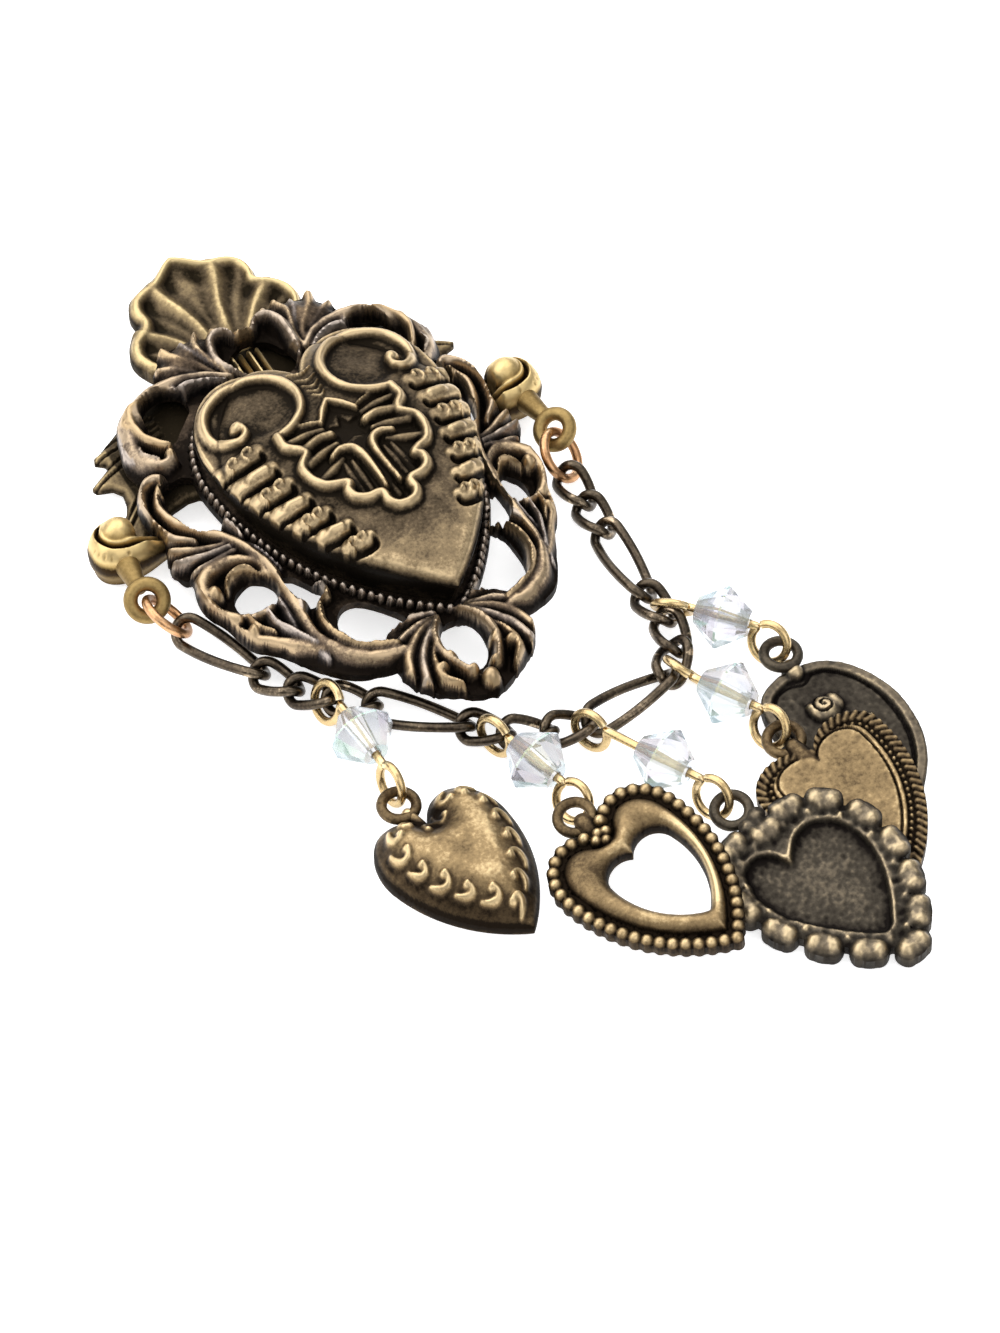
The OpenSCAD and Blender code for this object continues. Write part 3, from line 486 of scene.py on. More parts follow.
def tune(node, values):
    for key, value in values.items():
        node.inputs[key].default_value = value


def noise(nt, coords, scale, detail=4, rough=0.6, warp=0.0):
    n = nt.nodes.new("ShaderNodeTexNoise")
    tune(n, {"Scale": scale, "Detail": detail, "Roughness": rough, "Distortion": warp})
    nt.links.new(coords, n.inputs["Vector"])
    return n.outputs["Fac"]


def calc(nt, op, *values, clamp=False):
    n = nt.nodes.new("ShaderNodeMath")
    n.operation = op
    n.use_clamp = clamp
    for k, v in enumerate(values):
        if isinstance(v, (int, float)):
            n.inputs[k].default_value = v
        else:
            nt.links.new(v, n.inputs[k])
    return n.outputs[0]


def attribute(nt, name):
    n = nt.nodes.new("ShaderNodeAttribute")
    n.attribute_name = name
    return n.outputs["Fac"]


def ramp(nt, fac, stops):
    n = nt.nodes.new("ShaderNodeValToRGB")
    e = n.color_ramp.elements
    while len(e) > 1:
        e.remove(e[-1])
    for k, (at, col) in enumerate(stops):
        el = e[0] if k == 0 else e.new(at)
        el.position = at
        el.color = (*col, 1)
    nt.links.new(fac, n.inputs[0])
    return n.outputs[0]


# Value of wear and painted shade at the metal's dark, middle, bright and gleaming colour, and at each
# roughness
COLOUR_STOPS, ROUGH_STOPS = (0.18, 0.45, 0.7, 0.93), (0.2, 0.5, 0.85)


def aged_metal(name, *colours, rough=(0.66, 0.5, 0.4), shift=0.0, spots=0.2, attr=True, toned=None):
    """Patinated metal: dark in hollows from patina and painted shade, rubbed bright on crests, with blotches
    and fine grain. toned is a second row of colours, for where the attribute tone is 1. Without attr the
    mesh's own corners tell where it is worn and where it gets painted shade."""
    mat, nt, bsdf = nodes_of(name)
    swing = lambda value, size: calc(nt, "MULTIPLY", calc(nt, "SUBTRACT", value, 0.5), size)
    tc = nt.nodes.new("ShaderNodeTexCoord").outputs["Object"]
    blotch = noise(nt, tc, 420, 6, 0.62, 0.4)
    fine = noise(nt, tc, 4000, 3, 0.65)
    if attr:
        w = attribute(nt, "wear_and_shade")
    else:
        pointed = nt.nodes.new("ShaderNodeNewGeometry").outputs["Pointiness"]
        w = calc(nt, "MULTIPLY_ADD", calc(nt, "SUBTRACT", pointed, 0.5), 4.0, 0.55)
    w = calc(nt, "ADD", w, swing(blotch, spots * 2))
    w = calc(nt, "ADD", w, swing(fine, spots * 1.5))
    w = calc(nt, "ADD", w, shift, clamp=True)
    col = ramp(nt, w, zip(COLOUR_STOPS, colours))
    if toned:
        mix = nt.nodes.new("ShaderNodeMix")
        mix.data_type = "RGBA"
        nt.links.new(attribute(nt, "tone"), mix.inputs[0])
        nt.links.new(col, mix.inputs[6])
        nt.links.new(ramp(nt, w, zip(COLOUR_STOPS, toned)), mix.inputs[7])
        col = mix.outputs[2]
    nt.links.new(col, bsdf.inputs["Base Color"])
    bsdf.inputs["Metallic"].default_value = 1.0
    r = ramp(nt, w, zip(ROUGH_STOPS, [(v, v, v) for v in rough]))
    nt.links.new(calc(nt, "ADD", r, swing(fine, 0.16), clamp=True), bsdf.inputs["Roughness"])
    b = nt.nodes.new("ShaderNodeBump")
    tune(b, {"Strength": 0.25, "Distance": 0.00006})
    nt.links.new(fine, b.inputs["Height"])
    nt.links.new(b.outputs[0], bsdf.inputs["Normal"])
    return mat


BRASS = aged_metal("antique_brass", (0.016, 0.012, 0.007), (0.1, 0.073, 0.043), (0.23, 0.17, 0.09),
                   (0.5, 0.385, 0.2), spots=0.26)
BRONZE = aged_metal("antique_bronze", (0.011, 0.008, 0.006), (0.055, 0.039, 0.027), (0.14, 0.098, 0.061),
                    (0.44, 0.32, 0.185), spots=0.36,
                    toned=((0.012, 0.01, 0.01), (0.058, 0.049, 0.046), (0.15, 0.128, 0.118),
                           (0.38, 0.33, 0.295)))
HEART = aged_metal("antique_brass_heart", (0.012, 0.009, 0.006), (0.09, 0.066, 0.041), (0.215, 0.158, 0.09),
                   (0.49, 0.37, 0.215), spots=0.34)
CHARM = aged_metal("charm_bronze", (0.012, 0.008, 0.005), (0.075, 0.051, 0.028), (0.25, 0.175, 0.088),
                   (0.62, 0.47, 0.26), spots=0.26)
SLATE = aged_metal("charm_dark", (0.01, 0.008, 0.007), (0.05, 0.042, 0.032), (0.15, 0.12, 0.083),
                   (0.46, 0.36, 0.22))
GOLD = aged_metal("volute_gold", (0.03, 0.017, 0.006), (0.18, 0.12, 0.045), (0.37, 0.26, 0.105),
                  (0.6, 0.45, 0.21), rough=(0.6, 0.5, 0.42))
WIRE = aged_metal("gold_wire", (0.13, 0.085, 0.035), (0.29, 0.2, 0.09), (0.52, 0.38, 0.19),
                  (0.74, 0.58, 0.34), rough=(0.4, 0.3, 0.24), attr=False, spots=0.16)
COPPER = aged_metal("copper_ring", (0.06, 0.027, 0.014), (0.22, 0.11, 0.055), (0.46, 0.25, 0.12),
                    (0.78, 0.52, 0.3), rough=(0.45, 0.34, 0.26), attr=False, spots=0.2)
GUN = aged_metal("chain_gunmetal", (0.01, 0.008, 0.006), (0.035, 0.027, 0.02), (0.1, 0.077, 0.053),
                 (0.4, 0.31, 0.21), rough=(0.44, 0.32, 0.24), attr=False, spots=0.4, shift=-0.12)


def crystal_glass():
    mat, nt, bsdf = nodes_of("crystal")
    tc = nt.nodes.new("ShaderNodeTexCoord").outputs["Object"]
    col = ramp(nt, noise(nt, tc, 420, 2), [(0.35, (0.68, 0.7, 0.76)), (0.65, (0.82, 0.81, 0.8))])
    nt.links.new(col, bsdf.inputs["Base Color"])
    tune(bsdf, {"Transmission Weight": 0.8, "IOR": 1.48, "Roughness": 0.1, "Thin Film Thickness": 420,
                "Thin Film IOR": 1.7})
    return mat


CRYSTAL = crystal_glass()

# Scroll frame
# columns: line, widths, crest, depth of the groove down its middle, tone
SCROLLS = [
    ([(3.2, 9.2), (5, 10.4), (7.5, 10.8), (9.9, 10.2), (12, 8.7), (13.1, 6.8), (13.1, 5), (12.1, 3.9),
      (10.9, 4)],
     (0.8, 1.2, 1.5, 1.9, 1.9, 1.5, 0.9), 5.55, 0, 0.3),
    ([(9.2, 10.2), (11.2, 9.7), (12.2, 8.2), (12.2, 6.8), (11.3, 5.5), (10.7, 5)],
     (0.5, 1.1, 1.4, 1.1, 0.7), 5.95, 0.072, 0),
    ([(13.3, 8.3), (13.9, 6.9), (13.8, 5.4), (13.1, 4.3)], (0.4, 0.7, 0.7, 0.4), 5.2, 0, 0.9),
    ([(12, 9.4), (12.7, 8.3), (12.5, 7.2)], (0.4, 0.7, 0.4), 5.75, 0, 0),
    ([(12.8, 6), (12.9, 5), (12, 4.3)], (0.5, 0.8, 0.5), 5.8, 0, 0.6),
    ([(8.6, 8.7), (7.6, 9.5), (6.3, 9.9), (4.8, 9.6), (3.8, 9)], (0.9, 1.1, 0.9, 0.7, 0.5), 5.5, 0, 0.9),
    ([(9.4, 9), (8.6, 9.9), (7.2, 10.3)], (0.6, 0.8, 0.5), 5.2, 0, 0.6),
    # side curl and the long band down to the foot
    ([(12.7, 1.5), (12.5, 2.3), (13.3, 2.9), (14.5, 2.3), (15.2, 0.7), (15.2, -1), (14.6, -2.8),
      (13.3, -4.1)],
     (0.8, 1.1, 1.3, 1.1, 1, 1, 0.9), 5.6, 0, 0.3),
    ([(13.6, 1.7), (14.1, 0.2), (13.7, -1.5), (12.6, -3.1), (11, -4.9), (9.9, -7), (9.3, -10), (9.4, -13.5),
      (9.4, -16.4), (8.1, -18.7), (6.3, -20), (4.4, -20.5)],
     (0.6, 1, 1.1, 1.1, 1.2, 1.2, 1.1, 1.2, 1.3, 1.6, 1.5, 1.2), 5.6, 0.084, 0.15),
    ([(10.6, -4.7), (9.3, -6.6), (8.6, -9)], (0.4, 0.7, 0.5), 5, 0, 1),
    ([(10.3, -9), (10.1, -12.5), (10.3, -15.8), (9.4, -18.4)], (0.5, 0.8, 0.9, 0.6), 5.1, 0, 1),
    ([(10.3, -2.7), (9.9, -4), (9.8, -5)], (0.7, 0.9, 0.7), 5.2, 0, 0.8),
    # leaves of the side
    ([(11.4, -5.3), (13.2, -5), (14.6, -4.3), (15.4, -3.9)], (0.9, 1.1, 1, 0.5), 5.5, 0.06, 0.2),
    ([(11.2, -5.8), (13.2, -5.8), (14.8, -5.5), (15.5, -5.2)], (0.8, 1, 0.9, 0.5), 5.7, 0.06, 0.7),
    ([(11, -6.2), (12.8, -6.5), (14.2, -6.7), (15, -6.8)], (0.7, 0.9, 0.8, 0.4), 5.5, 0, 0.4),
    # round scroll about its hole
    ([(9.9, -9.4), (10, -8), (11.1, -7.2), (12.7, -6.9), (14.2, -7.6), (15, -9.2), (14.8, -10.9),
      (13.7, -12.2)],
     (0.8, 1.2, 1.4, 1.6, 1.7, 1.6, 1.2), 5.6, 0.072, 0.1),
    ([(10.4, -9.1), (11.3, -8.3), (12.6, -8.5), (13.3, -9.4)], (0.5, 0.9, 0.7, 0.4), 5.85, 0, 0),
    ([(13.6, -11.9), (12.6, -12.5), (11.3, -12.5), (10.7, -11.9)], (0.8, 0.9, 0.8, 0.5), 5.4, 0, 0.3),
    ([(14.3, -12.1), (13.9, -13.6), (12.6, -15), (10.8, -16.4), (9.4, -17.6)],
     (0.6, 1.3, 1.6, 1.4, 0.9), 5.4, 0.072, 0.1),
    ([(11.5, -12.4), (11.4, -14), (10.6, -15.5), (9.7, -17)], (0.7, 1.1, 1.1, 0.7), 5.65, 0, 0.9),
    ([(13, -12.3), (12.8, -13.6), (11.9, -14.7)], (0.5, 0.9, 0.5), 5.75, 0, 0),
    # inner curl of the foot
    ([(9.5, -16), (9.3, -14), (8.7, -12.6), (7.7, -11.9), (6.9, -12.3), (7, -13)],
     (0.8, 1.1, 1.2, 1.1, 0.9), 5.55, 0, 0.7),
    ([(7.8, -13.8), (8.3, -15.2), (8.2, -16.8), (7.4, -18.3), (5.9, -19.4), (4.6, -19.9)],
     (0.6, 0.9, 1, 1, 0.9), 5.8, 0, 0),
    ([(0.8, -18.3), (2.6, -17.9), (4, -17.3), (4.9, -17.5)], (0.7, 1, 1, 0.7), 5.2, 0, 0.6),
    # palmette at the foot
    ([(0.9, -18.7), (2.6, -19), (4.2, -19.6), (5.2, -20.4)], (0.6, 0.9, 1, 0.6), 5.3, 0, 0.3),
    ([(0.9, -18.9), (2.6, -19.6), (4.2, -21), (5, -22.8)], (0.6, 1, 1.3, 0.9), 5.45, 0.072, 0.1),
    ([(0.9, -19), (2.2, -20.2), (3.6, -22), (4.3, -24)], (0.6, 0.9, 1.2, 0.9), 5.6, 0.072, 0.6),
    ([(0.9, -19.1), (1.9, -20.6), (2.1, -22.6), (1.2, -24.6)], (0.6, 0.9, 1, 0.8), 5.8, 0, 0.2),
    ([(2.2, -21), (3, -22.6), (3.1, -24.2), (2.2, -25.4)], (0.5, 0.9, 1, 0.6), 5.65, 0, 0),
    # fan over the top
    ([(3.9, 9.5), (5, 10.8), (6.4, 12), (7.3, 12.5)], (0.6, 1, 1.1, 0.7), 5.2, 0, 0.2),
    ([(3.6, 9.6), (4.4, 11.2), (5.8, 12.9), (6.3, 14)], (0.6, 1.1, 1.2, 0.9), 5.45, 0.072, 0),
    ([(3.2, 9.6), (3.7, 11.2), (4.5, 12.8), (4.7, 13.9)], (0.5, 1, 1.1, 0.7), 5.4, 0, 0.8),
    ([(3.2, 9.6), (3.6, 11.4), (3.9, 13), (3.4, 14.2)], (0.5, 0.9, 1, 0.7), 5.6, 0, 0.1),
    ([(2.1, 8.8), (2.9, 10), (3.1, 11.6), (2.6, 13), (1.5, 13.4), (0.9, 12.7)],
     (0.8, 1, 1.1, 1, 0.8, 0.6), 5.8, 0, 0.6),
]
LUMPS = [
    # x, y, half width, half length, top
    (14.2, -9.3, 0.75, 0.85, 5.9), (7.1, -12.9, 0.7, 0.65, 5.8), (13.1, 1.7, 0.65, 0.6, 5.85),
    (11, 4.3, 0.6, 0.6, 5.8), (1.7, -22.8, 0.6, 0.5, 5.95), (2.8, -23.5, 0.65, 0.55, 5.85),
    (0.9, -24.6, 0.6, 0.5, 5.8), (4.5, -24.2, 0.6, 0.5, 5.6), (13.2, -13.8, 0.55, 0.7, 5.9),
    (8.3, 9, 0.6, 0.5, 5.6), (2.1, 13.6, 0.6, 0.45, 5.8), (4.9, -17.4, 0.5, 0.4, 5.4),
]
EDGE = [
    (0, 12.6), (1.6, 13.6), (2.6, 14.4), (3.6, 14.6), (4.8, 14.5), (5.9, 14.4), (6.8, 13.6),
    (7.6, 12.5), (8.2, 11.4), (9.6, 11.1), (11.6, 10.2), (13, 8.6), (14, 6.6), (14.1, 4.8),
    (13.4, 3.4), (14.6, 2.5), (15.2, 1.2), (15.2, -0.8), (14.7, -2.6), (15.4, -4.2),
    (15.6, -5.2), (15.1, -6.2), (14.5, -6.7), (15.1, -8.4), (15.1, -10), (14.3, -11.6),
    (14, -13), (13.6, -14.4), (12.4, -15.3), (11, -17), (9.7, -18.7), (8, -20.3),
    (6, -20.9), (5.1, -20.9), (5.2, -22.2), (4.5, -23.8), (3.2, -24.9), (1.5, -25.8), (0, -26.5),
]
GAPS = [
    [(12.7, 2.4), (12.9, 0.4), (12.9, -2.2), (11.8, -3.5), (10.8, -3), (10, -2.4), (10, 2.6)],
    [(11.4 + 1.35 * math.cos(k), -10.5 + 1.35 * math.sin(k)) for k in np.arange(16) * math.pi / 8],
    [(8.75, -9.4), (8.75, -12.8), (7, -12.9), (7.6, -11)],
    [(10.6, 6.6), (10.7, 8.8), (9.4, 10), (7.6, 10), (7.2, 8.8), (9, 7.2), (9.9, 6.2)],
]
# The hole by the foot is taller on the right
GAP_LOW_FOOT = [(2.3, -17.8), (4.35, -17.3), (5.4, -18.6), (6.7, -18.35)]
GAP_LOW = {
    1: [(7.3, -16.6), (7.3, -14.6), (6.6, -12.6), (5.4, -12.9), (4.2, -14.8), *GAP_LOW_FOOT],
    -1: [(7.2, -17), (6.9, -15.3), (6, -14.2), (4.7, -14.5), *GAP_LOW_FOOT],
}
GAP_EYE = [(0, -19.2), (1, -20.2), (1.3, -21.5), (1, -22.8), (0, -24), (-1, -22.8), (-1.3, -21.5),
           (-1, -20.2)]
GAP_MID = [(-1.9, 8.4), (1.9, 8.4), (2.1, 10.4), (1.2, 11.9), (-1.2, 11.9), (-2.1, 10.4)]


def front_outline(grow=0.0):
    size = (HEART_HALF + grow, HEART_LOBE, HEART_TIP + 1.15 * grow, HEART_RISE + grow)
    return heart_outline(*size, 0, 40) + [0, HEART_Y]


def front_placed(grow=0.0):
    return turned(front_outline(grow), HEART_TURN) + [HEART_DX, 0]


def make_frame():
    foot = FRAME_Z + FRAME_PLATE
    r = Relief(-17.2, -27.6, 17.2, 15.8, FRAME_STEP, foot - 0.25)
    front = r.sdf(front_placed())
    edge = r.sdf(chaikin(mirrored(EDGE)))
    gaps = [[(side * x, y) for x, y in g] for side in (1, -1) for g in GAPS + [GAP_LOW[side]]]
    holes = np.minimum.reduce([r.sdf(chaikin(g)) for g in gaps + [GAP_EYE, GAP_MID]])
    # The holes are opened a little and end at a narrow rim round the heart, which is part of the sheet
    holes = np.maximum(holes - 0.32, 0.45 - front)
    r.gap = np.minimum(edge - 0.12, front - 0.4)
    for side in (1, -1):
        flip = np.array([side, 1])
        for p, w, c, cut, tone in SCROLLS:
            r.stroke(spline(p) * flip, np.array(w) * SCROLL_SPREAD, [c - 0.2, c + 0.05, c - 0.1],
                     foot - 0.7, cut, tone, power=0.85)
        for x, y, rx, ry, top in LUMPS:
            r.blob(side * x, y, rx, ry, top, foot - 0.3)
    # Bodies of the two fans, and the beads at the foot and over the middle
    for side in (1, -1):
        r.blob(side * 4.7, 12.2, 2.9, 2.1, 5.35, foot - 0.3, -25 * side, grow=False)
    r.blob(0, -25.6, 0.8, 0.9, 5.7, foot - 0.3)
    r.blob(0, 12.6, 0.9, 0.8, 5.8, foot - 0.3)
    r.z = blur(r.z, 0.07 / r.step)
    r.gap = np.maximum(np.maximum(r.gap, -holes), edge - 0.22)
    # Every edge rolls down in a quarter round, as a stamped sheet does
    t = np.clip(-r.gap / 0.85, 0, 1)
    r.z = np.minimum(r.z, FRAME_Z + 0.75 + 2.1 * np.sqrt(1 - (1 - t) ** 2))
    # Under the heart it stays below the heart's walls
    r.z = np.where(front < 0.3, np.minimum(r.z, foot - 0.1), r.z)
    room = FRAME_Z + 0.8 + np.clip((front + 0.58) / 0.8, 0, None) * (HEART_EDGE - FRAME_Z - 0.8)
    r.z = np.where(front < 0.22, np.minimum(r.z, room - 0.02), r.z)
    r.balls(resample(front_placed(0.1), RIM_BEADS)[0], 0.31, 4.85, 4.2, tone=0.8, grow=False)
    r.grain(0.32, 0.035, 5, where=(front > 0.5) * 1.0)
    r.grain(0.12, 0.01, 3)
    skin = np.maximum(FRAME_Z, blur(r.z, 0.2 / r.step) - 0.8)
    skin = np.where(front < 0.9, FRAME_Z, skin)
    lean = lambda v: v - [0.6, 0, 0] * smooth((v[:, 1:2] - 8) / 3)
    v, f, at = cast(r, lambda v: lean(seat(v)), skin)
    put("frame_relief", v, f, BRONZE, ["scroll_frame"], at)


# Heart front, in its own axes

# Half of the wavy rim of the palmette, from the scroll's foot to the lowest point
PALMETTE = [
    (4.9, -1), (4.95, -2.3), (4.2, -3.2), (4.1, -3.8), (4.95, -4.7), (4.9, -6), (4.3, -7.1), (3.3, -7.6),
    (2.85, -7.9), (3.2, -8.4), (3.05, -9.2), (2.3, -9.7), (1.4, -9.8), (1.15, -10.1), (1.15, -10.8),
    (0.75, -11.4), (0, -11.6),
]
PALMETTE_TOP = [(-3.4, -0.9), (-1.4, -1.5), (0, -0.1), (1.4, -1.5), (3.4, -0.9)]
LOBE_SCROLL = [
    (4.9, -1), (3.4, -0.6), (2, 0.5), (1.4, 2.3), (1.8, 4.2), (3.1, 5.6), (4.7, 6.3), (6.4, 6), (7.9, 4.9),
    (8.6, 3.2), (8.3, 1.6), (7.3, 0.7), (6.5, 1), (6.4, 1.8),
]
STAR = [(0.1, -1.1), (0.55, -2.1), (2.1, -1.8), (1.2, -3), (1.5, -4.3), (0.1, -3.8), (-1.3, -4.3), (-1, -3),
        (-1.9, -1.8), (-0.35, -2.1)]
# Scrolls, rim and ribs of the right half: line, widths, crests over the heart's edge
RIBS = [
    (LOBE_SCROLL, (1, 0.95, 1, 1.1, 1.15, 1.1, 1.1, 1, 0.8), (0.65, 0.75)),
    (PALMETTE, (1.1, 1.15, 1.05, 1.15, 1.2, 1.15, 1.1, 1.05), (0.78,)),
    ([(1.5, -3), (2.6, -2.9), (3.9, -3.3)], (0.9, 1.05, 1.1), (0.45, 0.6)),
    ([(1.6, -4), (2.8, -4.2), (4.3, -4.6)], (0.7, 0.95, 0.95), (0.25, 0.45)),
    ([(1.9, -5.4), (3, -5.9), (4.4, -6.5)], (0.6, 0.95, 0.9), (0.1, 0.4)),
    ([(1.7, -2.1), (3, -1.9), (4.4, -1.9)], (0.6, 0.85, 0.8), (0.1, 0.35)),
    ([(0.6, -9.4), (0.5, -8), (0.5, -6.2), (0.85, -5.1), (1.7, -4.75), (2.6, -5.1)],
     (0.6, 0.75, 0.9, 1.0, 0.95, 0.6), (0.62,)),
    ([(1.4, -1.5), (2.2, -1.1), (3.2, -0.8)], (0.3, 0.4, 0.3), (0.3,)),
]
HEART_MID, HEART_UNDER = np.array([0, -5]), FRAME_Z + 0.92
HEART_WALLS, UNDER_SCALE = ((0.995, 6.75), (0.97, 6.5)), 0.945
# Height and half width of the small creases under the cleft
CREASES = ((0.9, 0.5), (1.5, 0.6), (2.15, 0.7), (2.95, 0.85), (3.9, 1.0))


def make_heart():
    r = Relief(-10.6, -19.4, 10.6, 8.6, HEART_STEP, HEART_EDGE)
    d = r.sdf(front_outline())
    r.gap = d + 0.02
    dome = heart_dome(r.x, r.y)
    e = HEART_EDGE
    # The edge is rounded, sharper and with a thin lip on the upper part
    high = smooth((r.y + 11) / 7)
    r.z = e + dome - (0.5 - 0.2 * high) * np.clip(1 + (d + 0.03) / (0.4 - 0.2 * high), 0, 1) ** 2
    r.z -= (0.2 + 0.35 * high) * np.clip(1 + d / 0.85, 0, 1) ** 1.5
    r.z += 0.2 * high * np.exp(-((d + 0.26) / 0.17) ** 2) - 0.06 * high * np.exp(-((d + 0.75) / 0.2) ** 2)
    # The floor of the palmette is sunk inside its rim, and so are the lobes
    palmette = r.sdf(np.concatenate([mirrored(PALMETTE), PALMETTE_TOP]))
    star = smooth(-r.sdf(STAR) / 0.25)
    r.z -= 0.32 * smooth(-palmette / 0.4)
    r.z -= 0.3 * star
    # Painted highlight on the rounded edge of the upper part, and painted shade in the palmette's floor and
    # its star
    r.shade += 0.13 * high * smooth(1.3 + d)
    r.shade -= 0.16 * smooth(-palmette / 0.3) + 0.3 * star
    # The sunk floor of each lobe also gets a painted shade
    for x in (4.6, -4.6):
        lobe = smooth((3.2 - np.hypot(r.x - x, r.y - 2.9)) / 0.8)
        r.z -= 0.22 * lobe
        r.shade -= 0.06 * lobe
    r.shade += 0.08 * smooth((-r.y - 12.5) / 2.5)
    half = heart_half(HEART_HALF, HEART_LOBE, HEART_TIP, HEART_RISE, 0, 60)[:61] + [0, HEART_Y]
    keep = dict(lift=dome, grow=False)
    for side in (1, -1):
        flip = np.array([side, 1])

        def ridge(pts, w, c, foot=e - 0.4, power=0.6):
            r.stroke(np.asarray(pts) * flip, w, [e + v for v in c], foot, power=power, **keep)

        for pts, w, c in RIBS:
            ridge(spline(pts), w, c)
        r.balls([(side * 6.75, 1.9)], 0.62, e + 0.95, e, **keep)
        # Gadroons: blocks and pairs of commas in turn, shrinking towards the tip, a dark crease under each
        for k in range(GADROONS):
            t = k / (GADROONS - 1)
            y0 = -0.9 - 11.6 * (1.12 * t - 0.12 * t * t)
            pitch = 1.95 - 0.45 * t
            x0 = np.interp(y0, half[:, 1], half[:, 0]) - 0.55
            x1 = x0 - (2.7 - 1.1 * t)
            mid = (x0 + x1) / 2
            ridge(spline([(x0, y0 + 0.3), (mid, y0), (x1, y0 + 0.1)]), [pitch * 0.9, pitch, pitch * 0.85],
                  [0.3, 0.42, 0.38], power=0.45)
            low = y0 - pitch * 0.5
            crease = [(x0 + 0.2, low + 0.45), (mid, low), (x1, low + 0.02), (x1 - 0.25, low + 0.5)]
            r.groove(spline(crease) * flip, [0.4, 0.65, 0.6, 0.35], 0.55)
            if k % 2:
                ridge([(mid + 0.35, y0 + 0.15), (x1 + 0.55, y0 + 0.05)], [pitch * 0.62], [0.68], power=0.4)
            else:
                for x in (mid + 0.5, x1 + 0.55):
                    ridge(spiral(x, y0 + 0.14, 0.14, pitch * 0.34, 200, -60), [0.42, 0.5, 0.35], [0.8, 0.6])
        # Hollows of the petals at the palmette's tip, and the tongue over its star
        for x in (1.45, 2.1):
            ridge([(x - 0.1, -5.9), (x, -7.2), (x + 0.05, -8.9)], [0.5, 0.75, 0.6], [-0.02])
        ridge([(0, -5.6), (0, -7.6), (0, -10.3)], [0.5, 0.6, 0.7], [0])
        ridge(spline([(1.5, -1.6), (0.8, -0.6), (0, 0.2)]), [0.5, 0.7, 0.6], [0.4, 0.5], foot=e - 0.2)
    for y, w in CREASES:
        crease = spline([(-w, y + 0.45), (0, y), (w, y + 0.45)])
        r.stroke(crease, [0.16, 0.26, 0.16], [e + 0.3], e - 0.05, **keep)
    r.z = blur(r.z, 0.055 / r.step)
    r.grain(0.3, 0.012, 8)
    r.grain(0.1, 0.006, 7)
    # The walls draw in towards a point in the heart's middle
    r.y = r.y - HEART_MID[1]
    turn = turn_flat(HEART_TURN, [HEART_DX, 0])
    # The heart's walls keep the default wall_wear_and_shade, a near black painted shade
    v, f, at = cast(r, lambda v: turn(v + [*HEART_MID, 0]), HEART_UNDER, HEART_WALLS)
    low = v[:, 2] < HEART_UNDER + 0.01
    mid = turned(HEART_MID, HEART_TURN) + [HEART_DX, 0]
    v[low, :2] = mid + (v[low, :2] - mid) * UNDER_SCALE
    put("heart_relief", v, f, HEART, ["heart_front"], at)


# Back plate
SHELL = [
    (0, 22.2), (0.9, 21.7), (1.7, 21), (2.5, 20.4), (3.6, 20.3), (4.7, 19.7), (5.3, 18.6), (5.3, 17.6),
    (5.1, 17), (6.2, 16.4), (7.1, 15.2), (7.3, 13.8), (6.6, 12.2), (5.6, 10.8),
]
# Heading in degrees and height of the shell's ridges, which start from the focus
SHELL_RIDGES = ((0, 0.3), (14.5, 0.85), (28, 0.35), (43, 0.85), (58, 0.35), (74, 0.75), (92, 0.3))
SHELL_FOCUS = 10.6
BACK = [
    (0, 12.9), (5, 12.9), (8.6, 12.2), (10.6, 11.6), (12.6, 10.6), (14.6, 9.6), (13.3, 8.6), (14.4, 8),
    (15.9, 6.9), (13.6, 6.2), (14, 4), (15.4, 2.6), (16.8, 1.2), (16.8, -1.4), (14.6, -1.2), (13.6, 1.6),
    (10.4, 2.1), (8.8, 1.4), (8.4, -1.2), (0, -1.2),
]
BACK_DX = -0.8
LEAF_LINES = (
    [(9, 9.8), (11, 10.4), (13, 10), (14.4, 9.5)],
    [(9, 8.6), (11.6, 8.8), (13.6, 8.2), (15.6, 7)],
    [(10, 6.4), (12, 5.4), (13.4, 3.6), (16, 1.4)],
)


def make_shell():
    r = Relief(-8.4, 10, 8.4, 23.4, SHELL_STEP, 2.3)
    d = r.sdf(chaikin(mirrored(SHELL)))
    r.gap = d + 0.02
    rad = np.hypot(r.x, r.y - SHELL_FOCUS)
    ang = np.abs(np.degrees(np.arctan2(r.x, r.y - SHELL_FOCUS)))
    # Lobes are shallow troughs between ridges that end at the notches of the outline
    wave = np.zeros(r.x.shape)
    bend = 1.3 * np.sin(rad * 0.9)
    wide = 0.42 + 0.055 * rad
    for heading, height in SHELL_RIDGES:
        off = np.abs((ang - heading - bend) * np.radians(1) * rad)
        wave = np.maximum(wave, height * np.exp(-(off / wide) ** 1.6))
    r.z = 2.1 + 0.11 * rad + 0.8 * wave * np.clip((rad - 1) / 3, 0, 1)
    rolled = 0.5 + 0.2 * smooth((-r.x - 2) / 2)
    lip = np.exp(-(np.abs(d + rolled) / rolled) ** 2.4)
    r.z = np.maximum(r.z, 2.2 + 0.08 * rad + 0.95 * lip)
    pits = np.exp(-((d + 1.6) / 0.6) ** 2) * (1 - np.clip(wave * 1.5, 0, 1))
    r.z -= 0.3 * pits
    # The shell is lighter overall, with a painted shade in the pits
    r.shade += 0.07 - 0.08 * pits
    r.z -= 0.3 * np.clip(1 + (d + 0.02) / 0.25, 0, 1) ** 2
    r.z = blur(r.z, 0.1 / r.step)
    r.grain(0.35, 0.012, 12)
    r.grain(0.11, 0.007, 11)
    under = lambda x, y: 1.45 + 0.09 * np.hypot(x, y - SHELL_FOCUS)
    return cast(r, turn_flat(SHELL_TURN, SHELL_AT), under)


